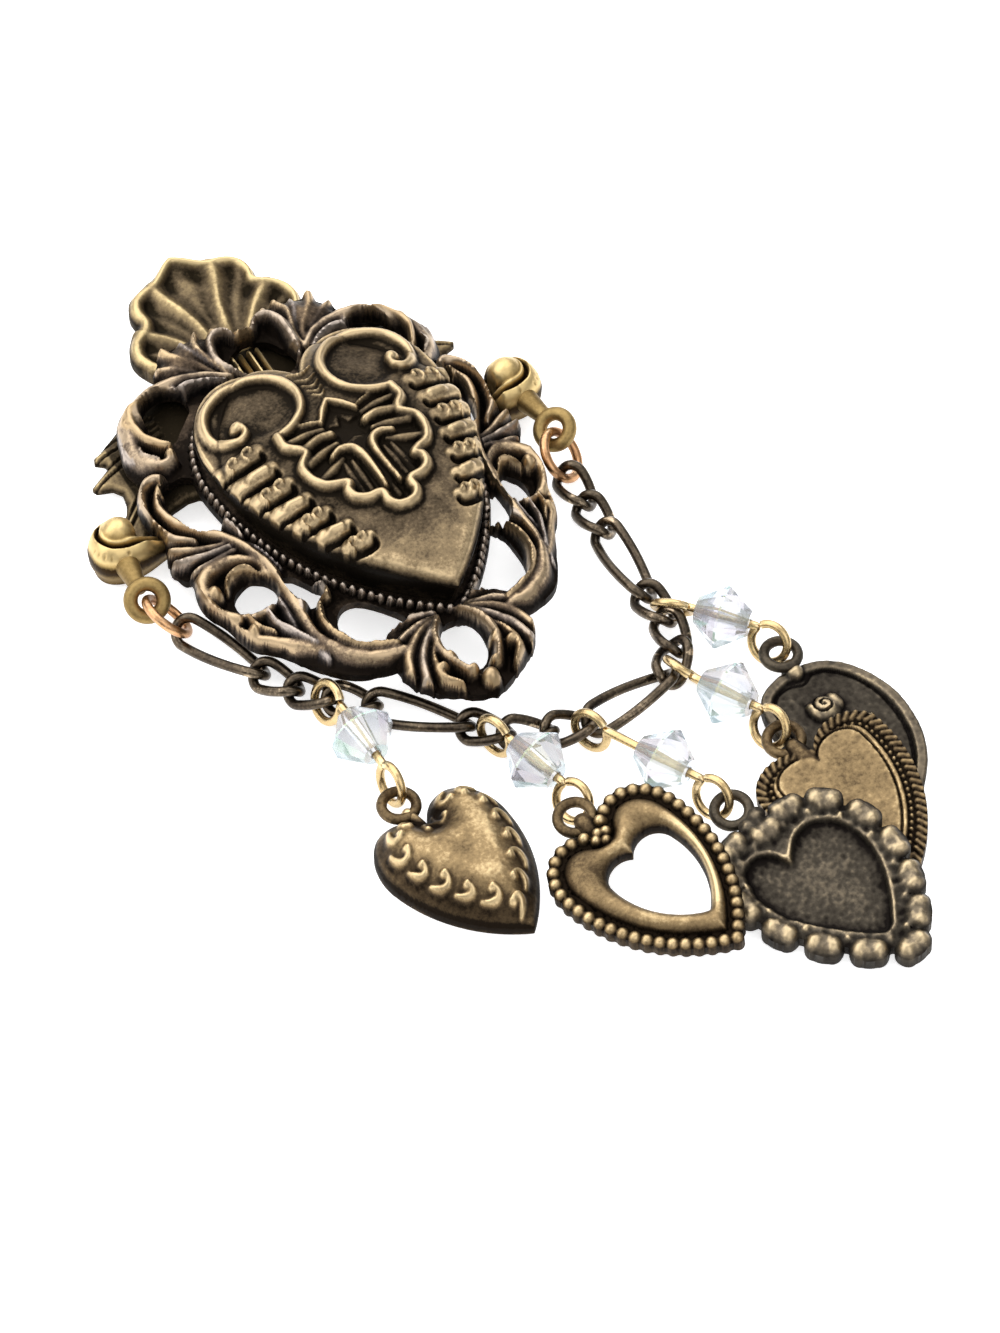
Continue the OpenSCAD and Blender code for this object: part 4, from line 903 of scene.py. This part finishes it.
def make_back():
    top = BACK_Z + BACK_THICK
    r = Relief(-18.6, -2.4, 17.6, 13.8, BACK_STEP, top)
    r.gap = r.sdf(chaikin(mirrored(BACK), 1) + [BACK_DX, 0])
    r.z = top - 0.02 - 0.3 * np.clip(1 + r.gap / 0.45, 0, 1) ** 2
    for side in (1, -1):
        for p in LEAF_LINES:
            q = bezier(p) * [side, 1] + [BACK_DX, 0]
            for dy in (0.35, -0.35):
                r.groove(q + [0, dy], [0.3], 0.22)
    # Upright bars that show through the frame's hole over the cleft, made brighter than the face by a painted
    # highlight. The rest of the plate under the frame gets a painted shade.
    for x in (-2.0, -1.3, -0.6, 0.1):
        r.stroke([(x, 8.4), (x, 11.8)], [0.5], [top + 0.8], top - 0.2, grow=False)
    r.shade += 0.5 * (np.abs(r.x + 1) < 1.6) * (np.abs(r.y - 10) < 1.8) - 0.3 * (np.abs(r.x + 0.8) < 13)
    r.grain(0.14, 0.006, 13)
    return cast(r, seat_true, BACK_Z)


VOLUTE_X, VOLUTE_DX = 16.85, -0.85
VOLUTE_EDGE = [
    (1.5, 1.9), (0.5, 2.35), (-0.9, 2.1), (-1.9, 1.1), (-2.15, -0.3), (-1.75, -1.4), (-0.7, -2.1),
    (0.7, -2.25), (2, -2.1), (3.4, -1.7), (4.4, -1.3), (4.4, -0.5), (3, -0.3), (1.75, -0.2), (1.5, 0.7),
]
VOLUTE_CUT = [(-0.55, 1.75), (-1.1, 0.9), (-1.1, 0), (-0.6, -0.8), (0.5, -1.15), (2, -1.05), (3.6, -0.8)]
VOLUTE_PITS = ((-1.7, -0.7), (-1.45, -1.15), (-1.05, -1.5), (-1.8, -0.2), (0.3, -1.75))


def volute(side):
    """The rolled end of an arm: a ball with a band that wraps round it and runs in under the frame."""
    reach = 1.0 if side < 0 else 0.5
    near = lambda pts: np.array([(x if x < 1.5 else 1.5 + (x - 1.5) * reach, y) for x, y in pts])
    r = Relief(-2.6, -2.8, 4.8, 2.6, VOLUTE_STEP, 2.2)
    r.gap = r.sdf(spline(near(VOLUTE_EDGE), closed=True))
    r.z = 2.1 + 2.1 * np.sqrt(1 - (1 - np.clip(-r.gap / 1.25, 0, 1)) ** 2)
    r.groove(spline(near(VOLUTE_CUT)), [0.3, 0.42, 0.42, 0.5, 0.6, 0.8], 0.8)
    r.blob(0.4, 0.5, 1.45, 1.4, 4.8, 3.2, grow=False)
    r.shade -= 0.08
    for x, y in VOLUTE_PITS:
        r.groove([(x, y), (x + 0.02, y)], [0.24], 0.16)
    low = smooth((r.x - 1.5) / (3.2 * reach))
    r.z = r.z * (1 - low) + np.minimum(r.z, 2.2) * low
    r.z = blur(r.z, 0.05 / r.step)
    r.grain(0.1, 0.006, 17)
    place = lambda v: v * [-side, 1, 1] + [side * VOLUTE_X + VOLUTE_DX, 0, 0]
    v, f, at = cast(r, place, 0.6, walls=((0.98, 1.6), (0.85, 1.0)), wall_wear_and_shade=0.45)
    if side > 0:
        f = [g[:, ::-1] for g in f]
    return v, f, at[0][1]


# Centre and outward direction of the loop under each volute
LOOPS = {1: ((16.4, -5.8, 2.9), (-0.8, -3.1, -1.4)), -1: ((-18, -5.8, 2.9), (1.5, -2.6, -1.4))}
LOOP_R, LOOP_WIRE, LOOP_LEAN = 1.22, 1.08, math.radians(30)


def make_arms():
    pieces = []
    for side in (1, -1):
        pieces.append(volute(side))
        at, out = LOOPS[side]
        w, u = across(unit(out))
        axis = u * math.cos(LOOP_LEAN) + w * math.sin(LOOP_LEAN)
        pieces.append((*torus(at, axis, LOOP_R, LOOP_WIRE), 0.55))
        a = np.array([side * VOLUTE_X + VOLUTE_DX, -1.6, 2.6])
        b = np.array([at[0], -4.6, 2.9])
        t = np.linspace(0, 1, 12)[:, None]
        neck = sweep(a * (1 - t) + b * t, np.interp(t[:, 0], [0, 0.5, 1], [1.0, 0.8, 0.6]), 20)
        pieces.append((*neck, 0.5))
    return fused(pieces)


# Chain

# Where each link ends and the next begins, from the left ring to the right one
JOINTS = np.array([
    (-16.5, -8.4, 1.5), (-13.35, -14.65, 1.3), (-11.85, -17.25, 1.3), (-9.8, -19.4, 1.4),
    (-7.5, -21.3, 1.3), (-2.5, -26.2, 1.3), (-0.3, -28.3, 1.3), (2.6, -29.6, 1.3),
    (5.7, -30.4, 1.3), (12.6, -29.4, 1.3), (14.5, -27.4, 1.4), (15.1, -24.7, 1.5),
    (14.9, -21.9, 1.5), (15.4, -15.1, 1.3), (15.5, -12, 1.3), (15.6, -8.92, 1.5),
])
LINK_LONG, LINK_SHORT, LINK_R, LINK_WIRE, LINK_TWIST = 8.0, 3.95, 1.1, 0.76, 50


def link_path(k, count=72):
    """An oval with straight sides, twisted along its length. Every fourth link is a long one."""
    a, b = JOINTS[k], JOINTS[k + 1]
    length = LINK_SHORT if k % 4 else LINK_LONG
    bend = length / 2 - LINK_R
    q = np.arange(count) / count * 4
    f, way, arc = q % 1, np.where(q < 2, 1, -1), q % 2 < 1
    turn = np.radians(180 * f - 90)
    x = way * np.where(arc, bend + LINK_R * np.cos(turn), bend - 2 * bend * f)
    y = way * np.where(arc, LINK_R * np.sin(turn), LINK_R)
    twist = np.radians(LINK_TWIST * x / (length / 2))
    d = unit(b - a)
    w, u = across(d)
    return (a + b) / 2 + np.outer(x, d) + np.outer(y * np.cos(twist), w) + np.outer(y * np.sin(twist), u)


def make_chain():
    for k in range(len(JOINTS) - 1):
        v, f = sweep(link_path(k), LINK_WIRE / 2, closed=True)
        put("chain_link_%02d" % (k + 1), v, f, GUN, ["link_%02d" % (k + 1)], angle=70)


# Drops

# Centre, heading and roll of the first and the last eye, and how far the crystal slides along the wire
DROPS = [
    ((-10.4, -19.8, 1.75), -84.8, 26, (-9.9, -28.66, 1.83), -86.6, 10.5, 0.05),
    ((-1.3, -28.5, 1.9), -72.8, 8, (0.76, -36.26, 1.8), -71, 30, 0),
    ((5, -31.4, 1.9), -67.8, 12, (9.45, -41.15, 2.36), -70, 23, 0.9),
    ((13.75, -29.7, 1.65), -70.4, -34, (16.44, -37.46, 1.96), -73.5, 30, 0.05),
    ((16.05, -24.3, 1.72), -38.7, -27, (20.53, -30.57, 1.68), -62, 28, -0.04),
]
EYE_R, EYE_WIRE, RISE, EYE_GAP = 1.45, 0.66, 34, 14
CRYSTAL_H, CRYSTAL_R, CRYSTAL_HOLE = 4.1 / 2, 5.0 / 2 - 0.04, 0.44


def on_eye(centre, heading, roll, way, degrees):
    """Points of an eye's loop. way is 1 for the first eye of a drop and -1 for the last."""
    h, roll, a = math.radians(heading), math.radians(roll), np.radians(degrees)[..., None]
    x = np.array([math.cos(h), math.sin(h), 0])
    n = np.array([math.sin(h) * math.cos(roll), -math.cos(h) * math.cos(roll), math.sin(roll)])
    return np.array(centre) + EYE_R * (way * np.cos(a) * x + np.sin(a) * np.cross(x, -n))


def make_drops():
    round_eye = np.linspace(RISE + EYE_GAP, RISE + 360, 54)
    for k, (*eyes, slide) in enumerate(DROPS):
        first, last = (*eyes[:3], 1), (*eyes[3:], -1)
        p, q = on_eye(*first, RISE), on_eye(*last, RISE)
        t = np.linspace(0, 1, 24)[1:-1, None]
        shank = p * (1 - t) + q * t
        path = [on_eye(*first, round_eye), shank, on_eye(*last, round_eye)[::-1]]
        v, f = sweep(np.concatenate(path), EYE_WIRE / 2, 14)
        put("drop_wire_%d" % (k + 1), v, f, WIRE, ["eye_wire_%d" % (k + 1)], angle=80)
        axis = unit(q - p)
        half = [(CRYSTAL_HOLE, CRYSTAL_H), (1.0, CRYSTAL_H), (CRYSTAL_R, 0.09)]
        prof = [(r, -h) for r, h in half] + half[::-1]
        v, f = revolve(prof, (p + q) / 2 + axis * slide, axis, 12)
        put("bicone_%d" % (k + 1), v, f, CRYSTAL, ["crystal_%d" % (k + 1)], angle=5)


# Charms
CHARMS = [
    # half width, lobe, tip, lobe rise, side lean, x, y, turn, tilt heading, slope, underside
    (5.35, 2.5, 9.3, 4.0, 4, -8.7, -34.95, 12.5, 0, 0, 0.1),
    (5.92, 2.6, 11.49, 3.77, -2.5, 1.23, -42.42, 19, 206, 0.18, 1.95),
    (6.29, 3.0, 11.39, 3.85, 0, 12.71, -49.11, 20, 220, 0.175, 1.45),
    (5.56, 2.76, 10.72, 2.45, -3.4, 18, -42.19, 10, 209, 0.15, 1.22),
    (4.9, 2.3, 9.6, 4.9, 2, 21.7, -38.3, 10.5, 0, 0, 0.05),
]
# Centre of each charm's bail loop, in the charm's own axes
BAILS = [(-0.42, 4.85, 1.3), (0.2, 4.5, 0.6), (-0.2, 6.9, 0.5), (-0.5, 3.55, 0.5), (0.35, 6.6, 1.4)]
BAIL_R, BAIL_WIRE, CHARM_UNDER = 1.25, 0.8, 0.04


def lay(k):
    """Tilts a charm, turns it and puts it in its place."""
    x, y, turn, heading, slope, z = CHARMS[k][5:]
    h = math.radians(heading)
    tilt = Matrix.Rotation(math.atan(slope), 3, Vector((-math.sin(h), math.cos(h), 0)))
    m = np.array(tilt @ Matrix.Rotation(math.radians(turn), 3, "Z"))
    return lambda v: np.asarray(v) @ m.T + [x, y, z]


def charm_outline(k, grow=0.0):
    a, lx, tip, lr, tau = CHARMS[k][:5]
    a += grow
    return heart_outline(a, min(lx, a * 0.494), tip + 1.25 * grow, max(lr + grow, 0.6 * lr), tau, 30)


def charm_grid(k, base, up=5.0):
    a, _, tip = CHARMS[k][:3]
    return Relief(-a - 1.2, -tip - 1.6, a + 1.2, up + 1.6, CHARM_STEP, base)


def finish_charm(k, node, r, mat, under=CHARM_UNDER):
    """Casts the charm with its bail."""
    place = lay(k)
    v, f, at = cast(r, place, under)
    bail, bail_faces = torus(BAILS[k], (0, 0, 1), BAIL_R, BAIL_WIRE, 48, 14)
    v, f, at = fused([(v, f, at[0][1]), (place(bail), bail_faces, 0.5)])
    put(node + "_look", v, f, mat, [node], at)


def charm_puffed():
    r = charm_grid(0, 1.0)
    d = r.sdf(charm_outline(0))
    r.gap = d
    q = np.clip(blur(np.clip(-d / 3.6, 0, 1), 0.5 / r.step) * 1.12 - 0.06, 0, 1)
    r.z = 1.15 + 2.5 * (1 - (1 - q) ** 2.1) - 0.5 * np.clip(1 + d / 0.3, 0, 1) ** 2
    # Painted highlight on the crown of the dome, and painted shade towards its border
    r.shade += 0.17 * smooth((q - 0.3) / 0.6) - 0.12 * smooth((0.45 - q) / 0.3)
    # Leaves along the border, each a small S with a ball in its curl
    lift = r.z.copy()
    for j, (p, t) in enumerate(zip(*resample(charm_outline(0, -1.2), 17))):
        nrm = np.array([-t[1], t[0]]) * (0.6 + 0.07 * (j * 7 % 5))
        leaf = [p - t * 0.8 - nrm * 0.3, p - nrm * 0.5 + t * 0.2, p + nrm * 0.3 + t * 0.9, p + nrm - t * 0.1]
        r.stroke(bezier(leaf), [0.3, 0.75, 0.7, 0.4], [0.42], -0.2, lift=lift, grow=False)
        r.balls([p + nrm * 0.85 - t * 0.15], 0.34, 0.5, -0.1, lift=lift, grow=False)
    r.stroke([(-0.3, 2.2), (-0.4, 3.9)], [0.9, 1.1], [1.7], 0.9)
    r.z = blur(r.z, 0.08 / r.step)
    r.grain(0.35, 0.02, 22)
    r.grain(0.12, 0.008, 21)
    finish_charm(0, "charm_puffed", r, CHARM, 0.1)


def charm_open():
    r = charm_grid(1, 0.6)
    d = r.sdf(charm_outline(1))
    hole = r.sdf(chaikin(heart_outline(3.05, 1.35, 6.2, 1.6, -4, 30) + [0.45, -1.75], 1))
    r.gap = np.maximum(d + 0.2, -hole)
    t = np.clip(hole / np.maximum(hole - d - 1.25, 0.05), 0, 1)
    band = 4 * t * (1 - t)
    r.z = 0.8 + 1.0 * band ** 0.55
    r.z = np.where(d > -1.25, 1.05, r.z)
    r.shade += -0.05 * (band > 0) + 0.02 * (d > -1.25)
    # Beads along the border, and a cluster at the cleft
    r.balls(resample(charm_outline(1, -0.55), 46)[0], 0.53, 1.5, 0.9)
    r.balls([(-0.9, 2.6), (0, 2.1), (0.9, 2.7), (0, 1.3), (-0.5, 1.8), (0.5, 1.8)], 0.5, 1.75, 0.9)
    r.stroke([(0.1, 2.6), (0.2, 3.7)], [1.6, 1.4], [1.2], 0.5, power=0.4)
    finish_charm(1, "charm_open", r, CHARM)


STUD_INNER = [
    (-1.05, 0.8), (-1.4, 2.1), (-2.3, 2.95), (-3.6, 2.75), (-4.5, 1.4), (-4.7, -0.8), (-3.98, -3),
    (-2.95, -5), (-1.85, -6.75), (-0.75, -7.8), (0.6, -6.9), (1.85, -5.6), (2.9, -4.2), (3.6, -2.6),
    (3.75, -0.6), (3.2, 1), (2.05, 1.85), (0.65, 1.8), (-0.45, 1.15),
]
STUDS = np.array([
    (-4.6, 3.4), (-2.75, 4.6), (-0.3, 3.7), (2.05, 3.7), (4.25, 2.1), (5.1, -0.8), (4.7, -3.8), (3.4, -6.4),
    (1.6, -8.5), (-0.6, -9.8), (-2.8, -7.7), (-4.5, -5), (-5.6, -2), (-5.7, 1),
])


def charm_studded():
    r = charm_grid(2, 0.9, up=7)
    inner = r.sdf(spline(STUD_INNER, 6, closed=True))
    r.gap = inner - 1.35
    r.z = 0.7 + 0.45 * smooth(inner / 0.15) + 0.4 * np.exp(-((inner - 0.16) / 0.14) ** 2)
    r.shade += 0.08 * (inner > 0.3) + 0.06 * (inner < 0)
    # Studs of two lobes each, then a small ball between neighbours
    after = np.roll(STUDS, -1, 0)
    along = after - np.roll(STUDS, 1, 0)
    along /= np.hypot(*along.T)[:, None]
    for a, t in zip(STUDS, along):
        out = np.array([-t[1], t[0]])
        turn = math.degrees(math.atan2(out[1], out[0]))
        r.blob(*a, 1.08, 1.5, 1.8, 0.5, turn, power=0.4)
        for lean in (0.64, -0.64):
            r.blob(*(a + out * 0.1 + t * lean), 0.9, 0.78, 1.9, 0.8, turn, power=0.5)
        r.groove([a - out * 1.1, a + out * 0.1], [0.5, 0.2], 0.2)
    for a, b in zip(STUDS, after):
        side = turned(b - a, -math.pi / 2) / np.hypot(*(b - a))
        r.balls([(a + b) / 2 + side * 0.62], 0.4, 1.6, 0.8, grow=False)
    for x, y in ((-0.75, 5), (0.35, 5.1), (-0.2, 4.4)):
        r.blob(x, y, 0.72, 0.66, 1.5, 0.5)
    r.z = blur(r.z, 0.14 / r.step)
    r.grain(0.12, 0.02, 31)
    finish_charm(2, "charm_studded", r, SLATE)


def charm_roped():
    r = charm_grid(3, 0.9)
    r.gap = r.sdf(charm_outline(3)) + 0.02
    inner = r.sdf(charm_outline(3, -1.45))
    r.z = 1.2 - 0.25 * smooth(inner / 0.15)
    r.shade += 0.15 * smooth(-inner / 0.2) - 0.08 * (inner > 0)
    # Rope: slanting ribs outside, a row of fine beads inside
    for a, t in zip(*resample(charm_outline(3, -0.42), 66)):
        nrm = np.array([t[1], -t[0]])
        r.stroke([a + nrm * 0.3 - t * 0.16, a - nrm * 0.22 + t * 0.16], [0.5], [1.18], 0.95, grow=False)
    r.balls(resample(charm_outline(3, -1.12), 60)[0], 0.22, 1.2, 0.8, grow=False)
    r.groove(charm_outline(3, -1.8), [0.22], 0.2)
    r.stroke([(-0.5, 2.5), (-0.5, 0.5)], [1.3, 1.9], [1.25], 0.5, power=0.4)
    r.grain(0.14, 0.012, 41)
    finish_charm(3, "charm_roped", r, CHARM)


ROSE_EDGE = [
    (0.1, 5.15), (0.9, 5.2), (2.45, 4.6), (3.65, 3.4), (4.45, 1.65), (4.85, -0.4), (4.7, -2.4), (3.95, -4.8),
    (2.6, -6.9), (1.2, -8.2), (0.2, -8.8), (-0.9, -8.2), (-2.4, -6.6), (-3.8, -4.4), (-4.6, -2), (-4.8, 0.2),
    (-4.5, 2.4), (-3.7, 4.2), (-2.55, 5.05), (-0.8, 5.4),
]
ROSE_LINE = [
    (0.1, 3.75), (1.2, 4.1), (2.4, 3.5), (3.4, 1.8), (3.8, -0.4), (3.6, -2.4), (3, -4.3), (1.8, -6.2),
    (0.2, -7.6), (-1.8, -6), (-3.4, -3.6), (-3.8, -0.6), (-3.6, 2), (-2.5, 3.9), (-1, 4.2),
]
# Stem and two leaves under the bud, with their widths
ROSE_STEMS = (
    ([(-0.3, 0), (-0.9, -1), (-1.1, -2.2), (-0.6, -3.4)], [0.35]),
    ([(-0.9, -1.4), (-1.6, -1), (-2.3, -1.2), (-2.8, -2)], [0.2, 0.8, 0.2]),
    ([(-0.8, -1.6), (0.2, -0.9), (1.4, -1.2), (2.1, -1.6)], [0.2, 0.8, 0.2]),
)


def charm_rose():
    face = 0.8
    r = charm_grid(4, face, up=6.5)
    d = r.sdf(spline(ROSE_EDGE, closed=True))
    r.gap = d + 0.02
    r.z = face + 0.3 * smooth((d + 0.95) / 0.25) - 0.2 * np.clip(1 + d / 0.2, 0, 1) ** 2
    r.groove(spline(ROSE_LINE, closed=True), [0.24], 0.14)
    for petal in ((-0.2, 1.0, 1.15, 1.2, 1.5), (-1, 1.2, 0.55, 1.0, 1.4), (0.75, 1.1, 0.55, 0.9, 1.4)):
        r.blob(*petal, face - 0.1, grow=False)
    r.groove(spiral(-0.15, 1.25, 0.9, 0.12, 90, 600), [0.22], 0.28)
    for pts, width in ROSE_STEMS:
        r.stroke(bezier(pts), width, [1.2], face - 0.1, grow=False)
    r.stroke([(0.2, 4.9), (0.3, 5.5)], [1.5, 1.3], [1.6], 0.6, power=0.4)
    r.grain(0.14, 0.018, 51)
    finish_charm(4, "charm_rose", r, SLATE, 0.05)


# Rings
RING_R, RING_WIRE, RING_LEAN = 1.9, 0.74, math.radians(-47)


def make_rings():
    for name, side, joint in (("jump_ring_left", -1, JOINTS[0]), ("jump_ring_right", 1, JOINTS[15])):
        d = unit(joint - np.array(LOOPS[side][0]))
        w, u = across(d)
        axis = w * math.cos(RING_LEAN) + u * math.sin(RING_LEAN)
        v, f = torus(joint + 0.47 * d - d * RING_R, axis, RING_R, RING_WIRE, 64)
        put(name + "_look", v, f, COPPER, [name], angle=80)


make_frame()
make_heart()
shell, back, arms = make_shell(), make_back(), make_arms()
for name, (v, f, at), mat in (("back_relief", back, BRASS), ("shell_relief", shell, BRASS),
                              ("volute_arms", arms, GOLD)):
    put(name, v, f, mat, ["back_plate"], at)
make_chain()
make_drops()
make_rings()
charm_puffed()
charm_open()
charm_studded()
charm_roped()
charm_rose()
# The pin keeps its solid's own mesh
pin_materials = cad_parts["pin_back"].data.materials
pin_materials.clear()
pin_materials.append(WIRE)


# Floor, light and camera
PITCH, DIST, ALPHA = math.radians(51.8), 0.35, math.radians(28.95)
# In pixels of the photograph: focal length, its middle, and the model's origin in it
FOCAL, MIDDLE, ORIGIN = 4760.0, (500, 666.5), (328.4, 483.1)
PHOTO_HEIGHT, SENSOR = 1333, 36
AIM = (0.01, -0.02, 0)
# Name, place, size and power of the lights, in the camera's upright axes
LIGHTS = (
    ("top_box", (-0.1, 0.35, 0.5), 0.9, 4.6),
    ("side_box", (-0.5, -0.1, 0.35), 0.6, 2.2),
    ("front_box", (0.25, -0.45, 0.45), 0.6, 1.2),
)


def link(name, data):
    ob = bpy.data.objects.new(name, data)
    bpy.context.scene.collection.objects.link(ob)
    return ob


def make_floor():
    me = bpy.data.meshes.new("floor")
    s = 1.2
    me.from_pydata([(-s, -s, 0), (s, -s, 0), (s, s, 0), (-s, s, 0)], [], [(0, 1, 2, 3)])
    ob = link("floor", me)
    mat, nt, bsdf = nodes_of("floor_paper")
    tc = nt.nodes.new("ShaderNodeTexCoord").outputs["Object"]
    col = ramp(nt, noise(nt, tc, 40, 3), [(0.3, (0.9, 0.9, 0.9)), (0.7, (0.93, 0.93, 0.93))])
    nt.links.new(col, bsdf.inputs["Base Color"])
    tune(bsdf, {"Emission Color": (1, 1, 1, 1), "Emission Strength": 0.66, "Roughness": 0.9,
                "Specular IOR Level": 0.1})
    me.materials.append(mat)


def to_model(v):
    """From axes along the camera's heading to the model's, which are turned on the table."""
    c, s = math.cos(ALPHA), math.sin(ALPHA)
    return Vector((v[0] * c + v[1] * s, -v[0] * s + v[1] * c, v[2]))


def make_camera():
    cam = np.array([0.0, -DIST * math.cos(PITCH), DIST * math.sin(PITCH)])
    fwd = np.array([0.0, math.cos(PITCH), -math.sin(PITCH)])
    up = np.array([0.0, math.sin(PITCH), math.cos(PITCH)])
    # Where the ray through the origin's pixel meets the table
    ray = fwd + (ORIGIN[0] - MIDDLE[0]) / FOCAL * np.array([1.0, 0, 0]) - (ORIGIN[1] - MIDDLE[1]) / FOCAL * up
    origin = cam - ray * cam[2] / ray[2]
    data = bpy.data.cameras.new("camera")
    data.sensor_width = SENSOR
    data.sensor_fit = "AUTO"
    data.lens = FOCAL / PHOTO_HEIGHT * SENSOR
    data.clip_start, data.clip_end = 0.02, 10
    ob = link("camera", data)
    m = Matrix((to_model((1, 0, 0)), to_model(up), to_model(-fwd))).transposed().to_4x4()
    m.translation = to_model(cam - origin)
    ob.matrix_world = m
    bpy.context.scene.camera = ob


def make_light():
    world = bpy.data.worlds.new("studio")
    bpy.context.scene.world = world
    world.use_nodes = True
    nt = world.node_tree
    bg = nt.nodes["Background"]
    tc = nt.nodes.new("ShaderNodeTexCoord")
    split = nt.nodes.new("ShaderNodeSeparateXYZ")
    nt.links.new(tc.outputs["Generated"], split.inputs[0])
    sky = ramp(nt, split.outputs["Z"], [(0.0, (0.25, 0.25, 0.26)), (0.35, (0.5, 0.5, 0.51)),
                                        (0.8, (1.25, 1.25, 1.25))])
    nt.links.new(sky, bg.inputs[0])
    bg.inputs[1].default_value = 0.8
    for name, place, size, power in LIGHTS:
        data = bpy.data.lights.new(name, "AREA")
        data.shape = "RECTANGLE"
        data.size, data.size_y, data.energy = size, size, power
        ob = link(name, data)
        ob.location = to_model(place)
        ob.rotation_mode = "QUATERNION"
        ob.rotation_quaternion = (to_model(AIM) - to_model(place)).to_track_quat("-Z", "Y")
    bpy.context.scene.view_settings.view_transform = "Standard"


make_floor()
make_camera()
make_light()
